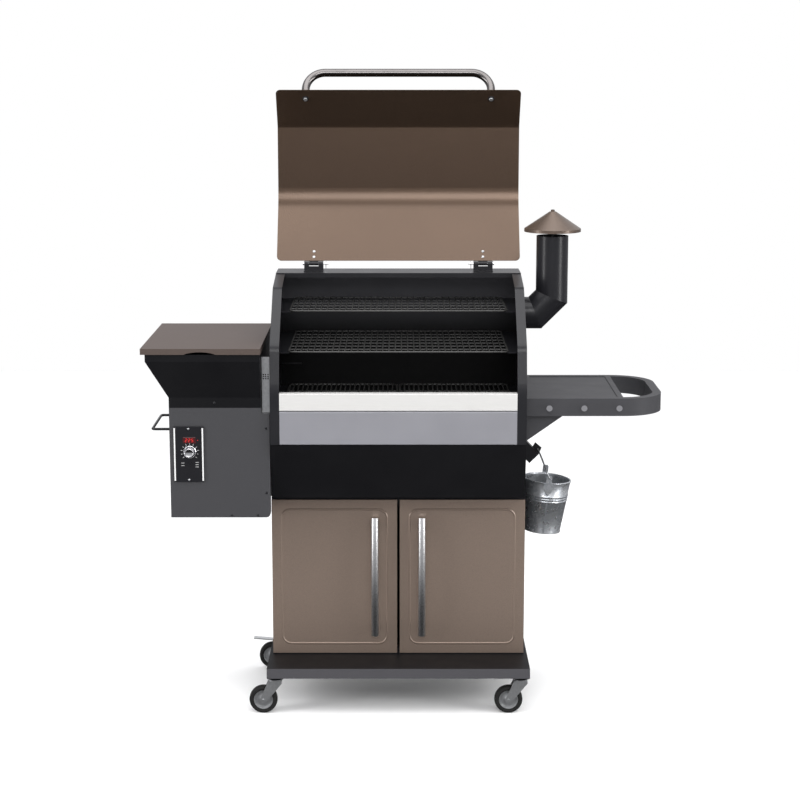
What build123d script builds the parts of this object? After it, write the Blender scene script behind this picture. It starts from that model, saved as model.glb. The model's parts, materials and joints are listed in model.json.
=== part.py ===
"""Pellet smoker grill: barrel with a bent lid on a cabinet, hopper left, shelf, chimney and bucket right.

Millimetres. X is 0 on the barrel's centre plane, Y is 0 on its front and runs back, Z is 0 on the floor.
The lid is modelled open, leaning back on its stop.
"""

from build123d import *
from math import cos, radians, sin
import os

os.makedirs("parts", exist_ok=True)

# ---- Driving dimensions ----
ORIGIN = (18.5, 254.5)  # the footprint's middle, measured from the barrel's centre plane and front
SHEET = 1.5  # sheet steel of casings and covers
FIT = 0.05  # radial clearance of a pin in its hole

BARREL_HALF = 380  # outer face of an end plate
BAND = 28  # width of the flange round an end plate
OPENING_HALF = BARREL_HALF - BAND
BARREL_BACK = 505
FOLD_Z = 845  # crease between the front panel and the lower panel
BARREL_BOTTOM = 674
RAIL_Z = 1315.3  # underside of the top rail

HINGE_Y, HINGE_Z = 410, 1340  # axis of the lid's hinges
HINGE_XS = (-265, 265)
LID_HALF = 381
LID_KNEE = (117.9, 190.9)  # open lid, from the hinge: large bend
LID_BROW = (119, 422)  # tight bend
LID_EDGE = (39, 536)  # free edge

CABINET_HALF = 390
CABINET_FRONT, CABINET_BACK = 172.8, 501
BASE_TOP, BASE_BOTTOM = 150, 119
DOOR_LOW, DOOR_HIGH = 153, 642
DOOR_FRONT, DOOR_REAR = 150, 170
PULL_X, PULL_R = 72, 12.2  # door pulls from the middle, and their tube
DOOR_INNER, DOOR_OUTER = 4, 389
PIVOT_X, PIVOT_Y = 383, 158

CASTER_XS = {"left": -375, "right": 375}
CASTER_YS = {"front": 40, "rear": 466}
WHEEL_R, WHEEL_WIDE, TRAIL = 43, 26, 38

HOPPER_LEFT, HOPPER_RIGHT = -680, -407
HOPPER_FRONT = 13
COVER_BACK = 35
COVER_RIGHT = -382
BOX_LOW, BOX_HIGH = 621, 955
BIN_LOW, BIN_FLARE, BIN_RIM = 986, 1098, 1119

SHELF_LOW, SHELF_HIGH = 925, 978
SHELF_FRONT, SHELF_BACK, SHELF_END = 40, 454, 797

PIPE_R = 49
PIPE_X, PIPE_Y, STUB_Z = 474, 321, 1197
PIPE_TOP = 1436

SPOUT_Y = 300
BAIL_HOOK = (437, 769)  # X, Z of the bail where it hangs
EARS = (468, 693)  # X, Z of the bucket's ears
BUCKET_LOW, BUCKET_HIGH, BUCKET_FOOT_R, BUCKET_RIM_R = 509, 675, 57, 74.5
BUCKET_LEAN = 5  # degrees, about the ears


def write(piece, name):
    """Move a finished piece to the part's origin, label it and write it."""
    piece.part = piece.part.moved(Location((-ORIGIN[0], -ORIGIN[1], 0)))
    piece.part.label = name
    export_step(piece.part, f"parts/{name}.step")


def block(low, high, mode=Mode.ADD):
    """Add or cut a box between two opposite corners, in the part being built."""
    size = [top - bottom for bottom, top in zip(low, high)]
    middle = [(top + bottom) / 2 for bottom, top in zip(low, high)]
    with Locations(tuple(middle)):
        Box(*size, mode=mode)


def rod(start, end, radius, mode=Mode.ADD):
    """Add or cut a round bar from one point to another, in the part being built."""
    way = Vector(*end) - Vector(*start)
    with Locations(Plane(origin=start, z_dir=way)):
        Cylinder(radius, way.length, align=(Align.CENTER, Align.CENTER, Align.MIN), mode=mode)


def bent_sheet(path, radius, wide, thickness=SHEET):
    """A sheet folded along `path` in the side view, with its thickness to the left of the path."""
    with BuildPart() as sheet:
        with BuildSketch(Plane.YZ):
            with BuildLine():
                FilletPolyline(*path, radius=radius)
                offset(amount=thickness, side=Side.LEFT)
            make_face()
        extrude(amount=wide / 2, both=True)
    return sheet


# ---- Stand: base shelf with its caster plates, and casters ----
PLATE_LOW, RACE_LOW = 116, 107.5  # undersides of a caster's top plate and of its ball race
with BuildPart() as base_shelf:
    block((-400, 3, BASE_BOTTOM), (400, 506, BASE_TOP))
    block((-398, 5, BASE_BOTTOM), (398, 504, BASE_TOP - 2), Mode.SUBTRACT)
    for x in (-399, 340):
        for y in (4, 435):
            block((x, y, BASE_BOTTOM), (x + 59, y + 70, BASE_BOTTOM + 2))
    for x in CASTER_XS.values():
        for y in CASTER_YS.values():
            block((x - 25, y - 32, PLATE_LOW), (x + 25, y + 32, BASE_BOTTOM))
            rod((x, y, RACE_LOW), (x, y, PLATE_LOW), 18)
            rod((x, y, RACE_LOW - 1), (x, y, PLATE_LOW + 2), 5 + FIT, Mode.SUBTRACT)
write(base_shelf, "base_shelf")

CHEEK = 14.5  # inner face of a fork's cheek, from the wheel's middle
for side, x in CASTER_XS.items():
    for end, y in CASTER_YS.items():
        axle_x = x - TRAIL
        with BuildPart() as fork:
            for cheek_y in (y - CHEEK - 2.5, y + CHEEK):
                with BuildSketch(Plane.XZ.offset(-cheek_y - 2.5)):
                    with Locations((axle_x, WHEEL_R)):
                        Circle(11)
                    with Locations((x - 1, 100)):
                        Rectangle(40, 8)
                    make_hull()
                extrude(amount=2.5)
            rod((x, y, 104), (x, y, 107), 21)
            block((x - 21, y - CHEEK - 2.5, 101.5), (x + 19, y + CHEEK + 2.5, 104))
            rod((x, y, 105), (x, y, 115), 5)
            rod((axle_x, y - 20, WHEEL_R), (axle_x, y + 20, WHEEL_R), 4)
        write(fork, f"caster_fork_{end}_{side}")

        with BuildPart() as wheel:
            with BuildSketch(Plane.YZ.offset(axle_x)):
                with Locations((y, WHEEL_R + 36)):
                    RectangleRounded(WHEEL_WIDE, 14, radius=5)
            revolve(axis=Axis((axle_x, y, WHEEL_R), (0, 1, 0)))
            rod((axle_x, y - 11, WHEEL_R), (axle_x, y + 11, WHEEL_R), 30)
            for face_y in (y - 11, y + 11):
                with Locations(Plane(origin=(axle_x, face_y, WHEEL_R), z_dir=(0, 1, 0))):
                    Cylinder(24, 10, mode=Mode.SUBTRACT)
            rod((axle_x, y - 13.5, WHEEL_R), (axle_x, y + 13.5, WHEEL_R), 9)
            rod((axle_x, y - 14, WHEEL_R), (axle_x, y + 14, WHEEL_R), 4 + FIT, Mode.SUBTRACT)
        write(wheel, f"wheel_{end}_{side}")

LEVER_PIVOT = (12, 94)  # behind the swivel axis, above the floor
for side, x in CASTER_XS.items():
    y = CASTER_YS["rear"]
    with BuildPart() as brake_lever:
        lever_x = x - LEVER_PIVOT[0]
        rod((lever_x, y - 14.3, LEVER_PIVOT[1]), (lever_x, y + 14.3, LEVER_PIVOT[1]), 3.5)
        with BuildSketch(Plane.XZ.offset(-y)):
            with Locations(Location((x - 55, 97.6), -5)):
                Rectangle(88, 3)
        extrude(amount=11, both=True)
    write(brake_lever, f"brake_lever_{side}")

# ---- Cabinet ----
PANEL_TOP = 672.5
with BuildPart() as cabinet_sides:
    for side in (-1, 1):
        inner = side * (CABINET_HALF - 20)
        outer = side * CABINET_HALF
        with BuildSketch(Plane.XY.offset(BASE_TOP)):
            with BuildLine():
                Polyline(
                    (inner, CABINET_FRONT),
                    (outer, CABINET_FRONT),
                    (outer, CABINET_BACK - 2),
                    (inner, CABINET_BACK - 2),
                )
                offset(amount=SHEET, side=Side.LEFT if side > 0 else Side.RIGHT)
            make_face()
        extrude(amount=PANEL_TOP - BASE_TOP)
write(cabinet_sides, "cabinet_sides")

with BuildPart() as cabinet_back:
    block((-CABINET_HALF, CABINET_BACK - 2, BASE_TOP), (CABINET_HALF, CABINET_BACK - 0.5, PANEL_TOP))
    block((-CABINET_HALF, CABINET_FRONT, PANEL_TOP), (CABINET_HALF, CABINET_BACK - 0.5, BARREL_BOTTOM))
write(cabinet_back, "cabinet_back")

RAIL_HALF, STRIP_HALF, STRIP_Y = 370, 389, 152
with BuildPart() as cabinet_rails:
    for low_z, high_z in ((BASE_TOP, BASE_TOP + 16), (DOOR_HIGH, PANEL_TOP)):
        block((-RAIL_HALF, CABINET_FRONT, low_z), (RAIL_HALF, CABINET_FRONT + SHEET, high_z))
        block((-RAIL_HALF, CABINET_FRONT, high_z - SHEET), (RAIL_HALF, CABINET_FRONT + 20, high_z))
    block((-STRIP_HALF, STRIP_Y, BASE_TOP), (STRIP_HALF, CABINET_FRONT, DOOR_LOW - 1.5))
    block((-STRIP_HALF, STRIP_Y, DOOR_HIGH + 1.5), (STRIP_HALF, CABINET_FRONT, DOOR_HIGH + 3))
    for x in (-PIVOT_X, PIVOT_X):
        rod((x, PIVOT_Y, BASE_TOP), (x, PIVOT_Y, DOOR_LOW + 9), 3)
        rod((x, PIVOT_Y, DOOR_HIGH - 9), (x, PIVOT_Y, DOOR_HIGH + 3), 3)
    block((-17, CABINET_FRONT - 2, DOOR_HIGH - 26), (17, CABINET_FRONT, DOOR_HIGH + 3))
write(cabinet_rails, "cabinet_rails")

GROOVE_X, GROOVE_Z = (33, 361), (182, 616)
for name, side in (("left", -1), ("right", 1)):
    low_x, high_x = sorted((side * DOOR_INNER, side * DOOR_OUTER))
    with BuildPart() as door:
        block((low_x, DOOR_FRONT, DOOR_LOW), (high_x, DOOR_REAR, DOOR_HIGH))
        block(
            (low_x + 2, DOOR_FRONT + 2, DOOR_LOW + 2),
            (high_x - 2, DOOR_REAR + 1, DOOR_HIGH - 2),
            Mode.SUBTRACT,
        )
        with BuildSketch(Plane.XZ.offset(-DOOR_FRONT)):
            with Locations((side * sum(GROOVE_X) / 2, sum(GROOVE_Z) / 2)):
                RectangleRounded(GROOVE_X[1] - GROOVE_X[0], GROOVE_Z[1] - GROOVE_Z[0], radius=28)
                RectangleRounded(
                    GROOVE_X[1] - GROOVE_X[0] - 8,
                    GROOVE_Z[1] - GROOVE_Z[0] - 8,
                    radius=24,
                    mode=Mode.SUBTRACT,
                )
        extrude(amount=-1, mode=Mode.SUBTRACT)
        for low_z in (DOOR_LOW, DOOR_HIGH - 12):
            block((side * PIVOT_X - 6, PIVOT_Y - 6, low_z), (side * PIVOT_X + 6, PIVOT_Y + 6, low_z + 12))
            rod(
                (side * PIVOT_X, PIVOT_Y, low_z - 1),
                (side * PIVOT_X, PIVOT_Y, low_z + 13),
                3 + FIT,
                Mode.SUBTRACT,
            )
    write(door, f"door_{name}")

    with BuildPart() as door_handle:
        with BuildLine() as bow:
            ThreePointArc((side * PULL_X, 126, 590), (side * PULL_X, 106, 404.5), (side * PULL_X, 126, 219))
        with BuildSketch(Plane(origin=bow.line @ 0, z_dir=bow.line % 0)):
            Circle(PULL_R)
        sweep()
        for z in (562, 247):
            rod((side * PULL_X, 122, z), (side * PULL_X, DOOR_FRONT, z), 7)
    write(door_handle, f"door_handle_{name}")

# ---- Barrel ----
AUGER_Y, AUGER_Z = 260, 745  # axis of the pellet auger
PLATE_OUTLINE = [
    (0, 846), (0, 1013), (26, 1136), (193, 1290), (345, 1315), (480, 1315),
    (BARREL_BACK, 1290), (BARREL_BACK, 706), (475, 676.2), (42, 676.2), (2.4, 843.2), (2.4, 846),
]
LEDGES = ((1219, 165, 480, 325), (1111, 62, 480, 325), (937, 32, 480, 340))  # top, front, back, inner edge
PLATE_BENDS = (((0, 1013), 150), ((26, 1136), 45), ((193, 1290), 40))  # corner, radius
with BuildSketch() as plate_drawing:
    Polygon(*PLATE_OUTLINE, align=None)
    for corner, radius in PLATE_BENDS:
        fillet(plate_drawing.vertices().sort_by_distance((*corner, 0))[0], radius=radius)
plate_face = plate_drawing.sketch
with BuildPart() as end_plates:
    for side in (-1, 1):
        with BuildSketch(Plane.YZ.offset(side * OPENING_HALF)):
            add(plate_face)
        extrude(amount=side * BAND)
        with BuildSketch(Plane.YZ.offset(side * OPENING_HALF)):
            add(plate_face)
            offset(amount=-2, kind=Kind.INTERSECTION)
        extrude(amount=side * (BAND - 2), mode=Mode.SUBTRACT)
        for top, front, back, inner in LEDGES:
            low_x, high_x = sorted((side * inner, side * (BARREL_HALF - 1)))
            block((low_x, front, top), (high_x, back, top + 2))
            low_x, high_x = sorted((side * (BARREL_HALF - 4), side * (BARREL_HALF - 1)))
            block((low_x, front, top - 18), (high_x, back, top))
    rod((370, PIPE_Y, STUB_Z), (390, PIPE_Y, STUB_Z), PIPE_R - 4, Mode.SUBTRACT)
    block((370, SPOUT_Y - 18, 766), (390, SPOUT_Y + 18, 808), Mode.SUBTRACT)
    rod((-370, AUGER_Y, AUGER_Z), (-390, AUGER_Y, AUGER_Z), 26, Mode.SUBTRACT)
write(end_plates, "end_plates")

SHELL_PATH = [(62, 678.5), (474, 678.5), (502.5, 707), (502.5, 1289), (479, 1312.5), (353, 1312.5)]
barrel_shell = bent_sheet(SHELL_PATH, 6, 2 * (BARREL_HALF - 2.5))
write(barrel_shell, "barrel_shell")

front_trim = bent_sheet([(26, 1000), (0, 1000), (0, 948.2), (12, 948.2)], 2, 2 * OPENING_HALF, 1.2)
write(front_trim, "front_trim")
front_panel = bent_sheet([(16, 946), (0.3, 946), (0.3, 846), (16, 846)], 2, 2 * OPENING_HALF)
write(front_panel, "front_panel")
lower_panel = bent_sheet([(0, FOLD_Z), (40, 674.2), (60, 674.2)], 2, 2 * BARREL_HALF)
write(lower_panel, "lower_panel")

with BuildPart() as top_rail:
    block((-BARREL_HALF, 345, RAIL_Z), (BARREL_HALF, 470, RAIL_Z + 2))
    block((-OPENING_HALF, 345, RAIL_Z - 12), (OPENING_HALF, 347, RAIL_Z))
    for x in HINGE_XS:
        block((x - 30, 380, RAIL_Z + 2), (x + 30, 428, RAIL_Z + 4.5))
        for low_x in (x - 30, x + 15):
            block((low_x, HINGE_Y - 6.5, RAIL_Z + 4.5), (low_x + 15, HINGE_Y + 6.5, HINGE_Z))
            rod((low_x, HINGE_Y, HINGE_Z), (low_x + 15, HINGE_Y, HINGE_Z), 6.5)
        block((x - 15, HINGE_Y - 6.5, RAIL_Z + 4.5), (x + 15, HINGE_Y + 6.5, HINGE_Z - 9))
        rod((x - 31, HINGE_Y, HINGE_Z), (x + 31, HINGE_Y, HINGE_Z), 3 + FIT, Mode.SUBTRACT)
write(top_rail, "top_rail")

# ---- Cooking chamber ----
def grille(middle, size, low, high, count, bars, rim=6, wire=3.5):
    """Add a flat grille to the part being built: a rim, `count` bars front to back and `bars` cross bars."""
    wide, deep = size
    block_low = (middle[0] - wide / 2, middle[1] - deep / 2, low)
    block_high = (middle[0] + wide / 2, middle[1] + deep / 2, high)
    inner_low = (block_low[0] + rim, block_low[1] + rim, low)
    inner_high = (block_high[0] - rim, block_high[1] - rim, high)
    cells_x = (inner_high[0] - inner_low[0] + wire) / (count + 1)
    cells_y = (inner_high[1] - inner_low[1] + wire) / (bars + 1)
    block(block_low, block_high)
    with Locations((*middle, (low + high) / 2)):
        with GridLocations(cells_x, cells_y, count + 1, bars + 1):
            Box(cells_x - wire, cells_y - wire, high - low, mode=Mode.SUBTRACT)


with BuildPart() as upper_rack:
    grille((0, 323.5), (662, 317), 1221, 1225, 34, 3)
with BuildPart() as middle_rack:
    grille((0, 270.5), (660, 423), 1113, 1117, 34, 4)
with BuildPart() as warming_racks:
    add(upper_rack.part)
    add(middle_rack.part)
write(warming_racks, "warming_racks")

with BuildPart() as left_grate:
    grille((-175.5, 255), (349, 448), 939, 947, 18, 3)
with BuildPart() as right_grate:
    grille((175.5, 255), (349, 448), 939, 947, 18, 3)
with BuildPart() as main_grates:
    add(left_grate.part)
    add(right_grate.part)
write(main_grates, "main_grates")

with BuildPart() as drip_tray:
    with BuildSketch(Plane.XZ.offset(-42)):
        with BuildLine():
            Polyline((-378, 915), (-345, 915), (-345, 898), (340, 862), (352, 848))
            offset(amount=2, side=Side.LEFT)
        make_face()
    extrude(amount=-420)
write(drip_tray, "drip_tray")

with BuildPart() as heat_baffle:
    with BuildSketch(Plane.YZ):
        with BuildLine():
            Polyline((130, 800), (150, 830), (370, 830), (390, 800))
            offset(amount=2, side=Side.RIGHT)
        make_face()
    extrude(amount=170, both=True)
    for x in (-168, 166):
        for y in (152, 366):
            block((x, y, 680), (x + 2, y + 2, 828.5))
write(heat_baffle, "heat_baffle")

with BuildPart() as firepot:
    block((-55, 205, 690), (55, 315, 785))
    rod((-560, AUGER_Y, AUGER_Z), (-53, AUGER_Y, AUGER_Z), 25.4)
    block((-52, 208, 693), (52, 312, 786), Mode.SUBTRACT)
    rod((-561, AUGER_Y, AUGER_Z), (-50, AUGER_Y, AUGER_Z), 23.4, Mode.SUBTRACT)
    block((-550, AUGER_Y - 18, AUGER_Z + 10), (-490, AUGER_Y + 18, AUGER_Z + 30), Mode.SUBTRACT)
    rod((0, 120, 712), (0, 235, 712), 5)
    for x in (-50, 48):
        block((x, 207, 680), (x + 2, 213, 691))
write(firepot, "firepot")

with BuildPart() as auger:
    rod((-566, AUGER_Y, AUGER_Z), (-60, AUGER_Y, AUGER_Z), 7)
    for step in range(12):
        with Locations(Plane(origin=(-540 + 42 * step, AUGER_Y, AUGER_Z), z_dir=(1, 0.35, 0))):
            Cylinder(21, 2)
write(auger, "auger")

with BuildPart() as auger_motor:
    block((-640, AUGER_Y - 40, AUGER_Z - 38), (-590, AUGER_Y + 40, AUGER_Z + 38))
    rod((-590, AUGER_Y, AUGER_Z), (-566.5, AUGER_Y, AUGER_Z), 20)
    for foot_y in (AUGER_Y - 30, AUGER_Y + 22):
        block((-636, foot_y, BOX_LOW + 1.5), (-600, foot_y + 8, AUGER_Z - 38))
write(auger_motor, "auger_motor")

FAN_X, FAN_Y, FAN_LOW = -500, 400, 622.5
with BuildPart() as fan_housing:
    rod((FAN_X, FAN_Y, FAN_LOW), (FAN_X, FAN_Y, FAN_LOW + 42), 62)
    rod((FAN_X, FAN_Y, FAN_LOW + 2), (FAN_X, FAN_Y, FAN_LOW + 40), 60, Mode.SUBTRACT)
    rod((FAN_X, FAN_Y, FAN_LOW + 39), (FAN_X, FAN_Y, FAN_LOW + 43), 32, Mode.SUBTRACT)
    rod((FAN_X, FAN_Y, FAN_LOW + 1), (FAN_X, FAN_Y, FAN_LOW + 12), 4)
write(fan_housing, "fan_housing")

with BuildPart() as fan_impeller:
    rod((FAN_X, FAN_Y, FAN_LOW + 13), (FAN_X, FAN_Y, FAN_LOW + 15), 54)
    rod((FAN_X, FAN_Y, FAN_LOW + 6), (FAN_X, FAN_Y, FAN_LOW + 15), 9)
    rod((FAN_X, FAN_Y, FAN_LOW + 5), (FAN_X, FAN_Y, FAN_LOW + 12.5), 4 + FIT, Mode.SUBTRACT)
    for turn in range(10):
        swing = radians(36 * turn)
        tip = Vector(cos(swing), sin(swing))
        with Locations(
            Location((FAN_X + 44 * tip.X, FAN_Y + 44 * tip.Y, FAN_LOW + 23), (0, 0, 36 * turn + 25))
        ):
            Box(18, 1.5, 17)
write(fan_impeller, "fan_impeller")

with BuildPart() as temperature_probe:
    rod((-378, 300, 1040), (-300, 300, 1040), 3)
    rod((-378, 300, 1040), (-372, 300, 1040), 8)
write(temperature_probe, "temperature_probe")

# ---- Lid, open ----
H = Vector(HINGE_Y, HINGE_Z)
along = Vector(*LID_KNEE).normalized()  # from the hinge up the lid's first flat
outward = Vector(along.Y, -along.X)  # out of the lid, behind it while it is open
LEAF_START, LEAF_END, LEAF_THICK = 9, 50, 2.5
lid_path = [
    tuple(H + along * LEAF_START)[:2],
    tuple(H + Vector(*LID_KNEE))[:2],
    tuple(H + Vector(*LID_BROW))[:2],
    tuple(H + Vector(*LID_EDGE))[:2],
]
leaf_screws = [
    Plane(origin=(x, *tuple(H + along * reach - outward * SHEET)[:2]), z_dir=(0, -outward.X, -outward.Y))
    for x in HINGE_XS
    for reach in (22, 41)
]
brow = H + Vector(*LID_BROW)
edge = H + Vector(*LID_EDGE)
visor = (edge - brow).normalized()  # up the lid's last flat, to its free edge
visor_out = Vector(visor.Y, -visor.X)
BOLT_REACH = 33  # handle bolts, from the free edge
bolt_spot = edge - visor * BOLT_REACH
HANDLE_HALF, HANDLE_R = 289, 12.5
handle_bolts_at = [
    Plane(origin=(x, *tuple(bolt_spot - visor_out * SHEET)[:2]), z_dir=(0, -visor_out.X, -visor_out.Y))
    for x in (-HANDLE_HALF, HANDLE_HALF)
]

with BuildPart() as lid_panel:
    with BuildSketch(Plane.YZ):
        with BuildLine():
            FilletPolyline(*lid_path, radius=[130, 20])
            offset(amount=SHEET, side=Side.LEFT)
        make_face()
    extrude(amount=LID_HALF, both=True)
    fillet(lid_panel.edges().filter_by(lambda e: abs(e.length - SHEET) < 0.01), radius=15)
    with Locations(*leaf_screws):
        Cylinder(2.6, 20, mode=Mode.SUBTRACT)
    with Locations(*handle_bolts_at):
        Cylinder(3.1, 20, mode=Mode.SUBTRACT)
write(lid_panel, "lid_panel")

with BuildPart() as lid_hinge_leaves:
    for x in HINGE_XS:
        with BuildSketch(Plane.YZ.offset(x)):
            with BuildLine():
                Polyline(
                    tuple(H + along * LEAF_START)[:2],
                    tuple(H + along * LEAF_END)[:2],
                    tuple(H + along * LEAF_END + outward * LEAF_THICK)[:2],
                    tuple(H + along * LEAF_START + outward * LEAF_THICK)[:2],
                    close=True,
                )
            make_face()
        extrude(amount=30, both=True)
        with BuildSketch(Plane.YZ.offset(x)):
            with BuildLine():
                Polyline(
                    tuple(H + along * 4)[:2],
                    tuple(H + along * LEAF_START)[:2],
                    tuple(H + along * LEAF_START + outward * LEAF_THICK)[:2],
                    tuple(H + along * 4 + outward * LEAF_THICK)[:2],
                    close=True,
                )
            make_face()
        extrude(amount=14.6, both=True)
        rod((x - 14.6, *tuple(H)[:2]), (x + 14.6, *tuple(H)[:2]), 6.5)
        rod((x - 15, *tuple(H)[:2]), (x + 15, *tuple(H)[:2]), 3 + FIT, Mode.SUBTRACT)
    with Locations(*leaf_screws):
        Cylinder(2.6, 20, mode=Mode.SUBTRACT)
write(lid_hinge_leaves, "lid_hinge_leaves")

with BuildPart() as lid_hinge_pins:
    for x in HINGE_XS:
        inward = -1 if x > 0 else 1
        rod((x + inward * 46, *tuple(H)[:2]), (x - inward * 34, *tuple(H)[:2]), 3)
        rod((x - inward * 31, *tuple(H)[:2]), (x - inward * 34, *tuple(H)[:2]), 5.5)
        clip_x = x + inward * 38
        rod((clip_x - 1, *tuple(H)[:2]), (clip_x + 1, *tuple(H)[:2]), 7)
        block((clip_x - 1, HINGE_Y - 1, HINGE_Z - 16), (clip_x + 1, HINGE_Y + 1, HINGE_Z - 6))
write(lid_hinge_pins, "lid_hinge_pins")

LEG = Vector(45, 78)  # from a handle bolt to the bar's centre, lid open
leg_way = LEG.normalized()
with BuildPart() as lid_handle:
    grip_plane = Plane(origin=(0, *tuple(bolt_spot)[:2]), x_dir=(1, 0, 0), z_dir=(0, leg_way.Y, -leg_way.X))
    reach = -LEG.length if grip_plane.y_dir.Z < 0 else LEG.length
    with BuildLine(grip_plane) as handle_path:
        FilletPolyline(
            (-HANDLE_HALF, 0), (-HANDLE_HALF, reach), (HANDLE_HALF, reach), (HANDLE_HALF, 0), radius=60
        )
    with BuildSketch(Plane(origin=handle_path.line @ 0, z_dir=handle_path.line % 0)):
        Circle(HANDLE_R)
    sweep()
    with BuildSketch(Plane.YZ):
        with BuildLine():
            Polyline(
                tuple(bolt_spot - visor * 60)[:2],
                tuple(bolt_spot + visor * 60)[:2],
                tuple(bolt_spot + visor * 60 - visor_out * 60)[:2],
                tuple(bolt_spot - visor * 60 - visor_out * 60)[:2],
                close=True,
            )
        make_face()
    extrude(amount=330, both=True, mode=Mode.SUBTRACT)
    with Locations(*handle_bolts_at):
        Cylinder(3.1, 24, mode=Mode.SUBTRACT)
write(lid_handle, "lid_handle")

with BuildPart() as lid_fasteners:
    with Locations(*leaf_screws):
        Cylinder(4.5, 2.4, align=(Align.CENTER, Align.CENTER, Align.MIN))
        Cylinder(2.5, 7, align=(Align.CENTER, Align.CENTER, Align.MAX))
    with Locations(*handle_bolts_at):
        Cylinder(9.5, 1.5, align=(Align.CENTER, Align.CENTER, Align.MIN))
        Cylinder(6.5, 5, align=(Align.CENTER, Align.CENTER, Align.MIN))
        Cylinder(3, 11, align=(Align.CENTER, Align.CENTER, Align.MAX))
write(lid_fasteners, "lid_fasteners")

# ---- Chimney ----
CAP_RIM_Z, CAP_TOP_Z, CAP_R = 1449, 1510, 87
CAP_LIP = 9
with BuildPart() as chimney_pipe:
    with BuildLine(Plane.XZ.offset(-PIPE_Y)) as pipe_line:
        Polyline((BARREL_HALF, STUB_Z), (PIPE_X - 51, STUB_Z), (PIPE_X, STUB_Z + 51), (PIPE_X, PIPE_TOP))
    with BuildSketch(Plane.YZ.offset(BARREL_HALF)):
        with Locations((PIPE_Y, STUB_Z)):
            Circle(PIPE_R)
            Circle(PIPE_R - SHEET, mode=Mode.SUBTRACT)
    sweep(path=pipe_line.line, transition=Transition.RIGHT)
    block((PIPE_X - 48, PIPE_Y - 5, 1404), (PIPE_X + 48, PIPE_Y + 5, 1407))
    rod((PIPE_X, PIPE_Y, 1400), (PIPE_X, PIPE_Y, CAP_TOP_Z + 6), 3)
write(chimney_pipe, "chimney_pipe")

with BuildPart() as chimney_cap:
    with BuildSketch(Plane.XZ.offset(-PIPE_Y)):
        with BuildLine():
            Polyline(
                (PIPE_X + 3 + FIT, CAP_TOP_Z),
                (PIPE_X + 10, CAP_TOP_Z),
                (PIPE_X + CAP_R, CAP_RIM_Z + CAP_LIP),
                (PIPE_X + CAP_R, CAP_RIM_Z),
                (PIPE_X + CAP_R - 2, CAP_RIM_Z),
                (PIPE_X + CAP_R - 2, CAP_RIM_Z + CAP_LIP - 1.2),
                (PIPE_X + 10, CAP_TOP_Z - 2),
                (PIPE_X + 3 + FIT, CAP_TOP_Z - 2),
                close=True,
            )
        make_face()
    revolve(axis=Axis((PIPE_X, PIPE_Y, 0), (0, 0, 1)))
    with BuildSketch(Plane(origin=(PIPE_X, PIPE_Y, CAP_TOP_Z - 0.5))):
        RegularPolygon(6, 6)
        Circle(3 + FIT, mode=Mode.SUBTRACT)
    extrude(amount=6)
write(chimney_cap, "chimney_cap")

# ---- Side shelf ----
CORNER_R, BAR_WIDE = 125, 26
SLOT_X = 672
with BuildPart() as shelf_rim:
    with BuildSketch(Plane.XY.offset(SHELF_LOW)) as outline:
        with Locations(((BARREL_HALF + SHELF_END) / 2, (SHELF_FRONT + SHELF_BACK) / 2)):
            Rectangle(SHELF_END - BARREL_HALF, SHELF_BACK - SHELF_FRONT)
        fillet(outline.vertices().group_by(Axis.X)[-1], radius=CORNER_R)
    extrude(amount=SHELF_HIGH - SHELF_LOW)
    with BuildSketch(Plane.XY.offset(SHELF_LOW)) as slot:
        with Locations(((BARREL_HALF + SHELF_END) / 2, (SHELF_FRONT + SHELF_BACK) / 2)):
            Rectangle(SHELF_END - BARREL_HALF - 2 * BAR_WIDE, SHELF_BACK - SHELF_FRONT - 2 * BAR_WIDE)
        fillet(slot.vertices().group_by(Axis.X)[-1], radius=CORNER_R - BAR_WIDE)
        with Locations((SLOT_X - 200, (SHELF_FRONT + SHELF_BACK) / 2)):
            Rectangle(400, SHELF_BACK, mode=Mode.SUBTRACT)
    extrude(amount=SHELF_HIGH - SHELF_LOW, mode=Mode.SUBTRACT)
    block(
        (BARREL_HALF + 2, SHELF_FRONT + 2, SHELF_LOW),
        (SLOT_X - 12, SHELF_BACK - 2, SHELF_HIGH - 7),
        Mode.SUBTRACT,
    )
    block((414.6, 66.6, SHELF_HIGH - 5), (655.4, 427.4, SHELF_HIGH), Mode.SUBTRACT)
    for y in (62, 420):
        with BuildSketch(Plane.XZ.offset(-y)):
            Polygon((BARREL_HALF, 845), (384, 845), (490, 920), (490, 926), (BARREL_HALF, 926), align=None)
        extrude(amount=-SHEET)
        block((BARREL_HALF, y, 847), (BARREL_HALF + SHEET, y + 16, 926))
        block((BARREL_HALF, y, SHELF_LOW), (492, y + 16, SHELF_LOW + SHEET))
write(shelf_rim, "shelf_rim")

with BuildPart() as shelf_tray:
    block((415.2, 67, SHELF_HIGH - 5), (655, 427, SHELF_HIGH - 2))
write(shelf_tray, "shelf_tray")

with BuildPart() as tool_pegs:
    for x in (448, 551.5, 655.5):
        rod((x, SHELF_FRONT, 953), (x, SHELF_FRONT - 20, 953), 4.5)
        rod((x, SHELF_FRONT - 20, 953), (x, SHELF_FRONT - 25, 953), 9)
write(tool_pegs, "tool_pegs")

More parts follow.
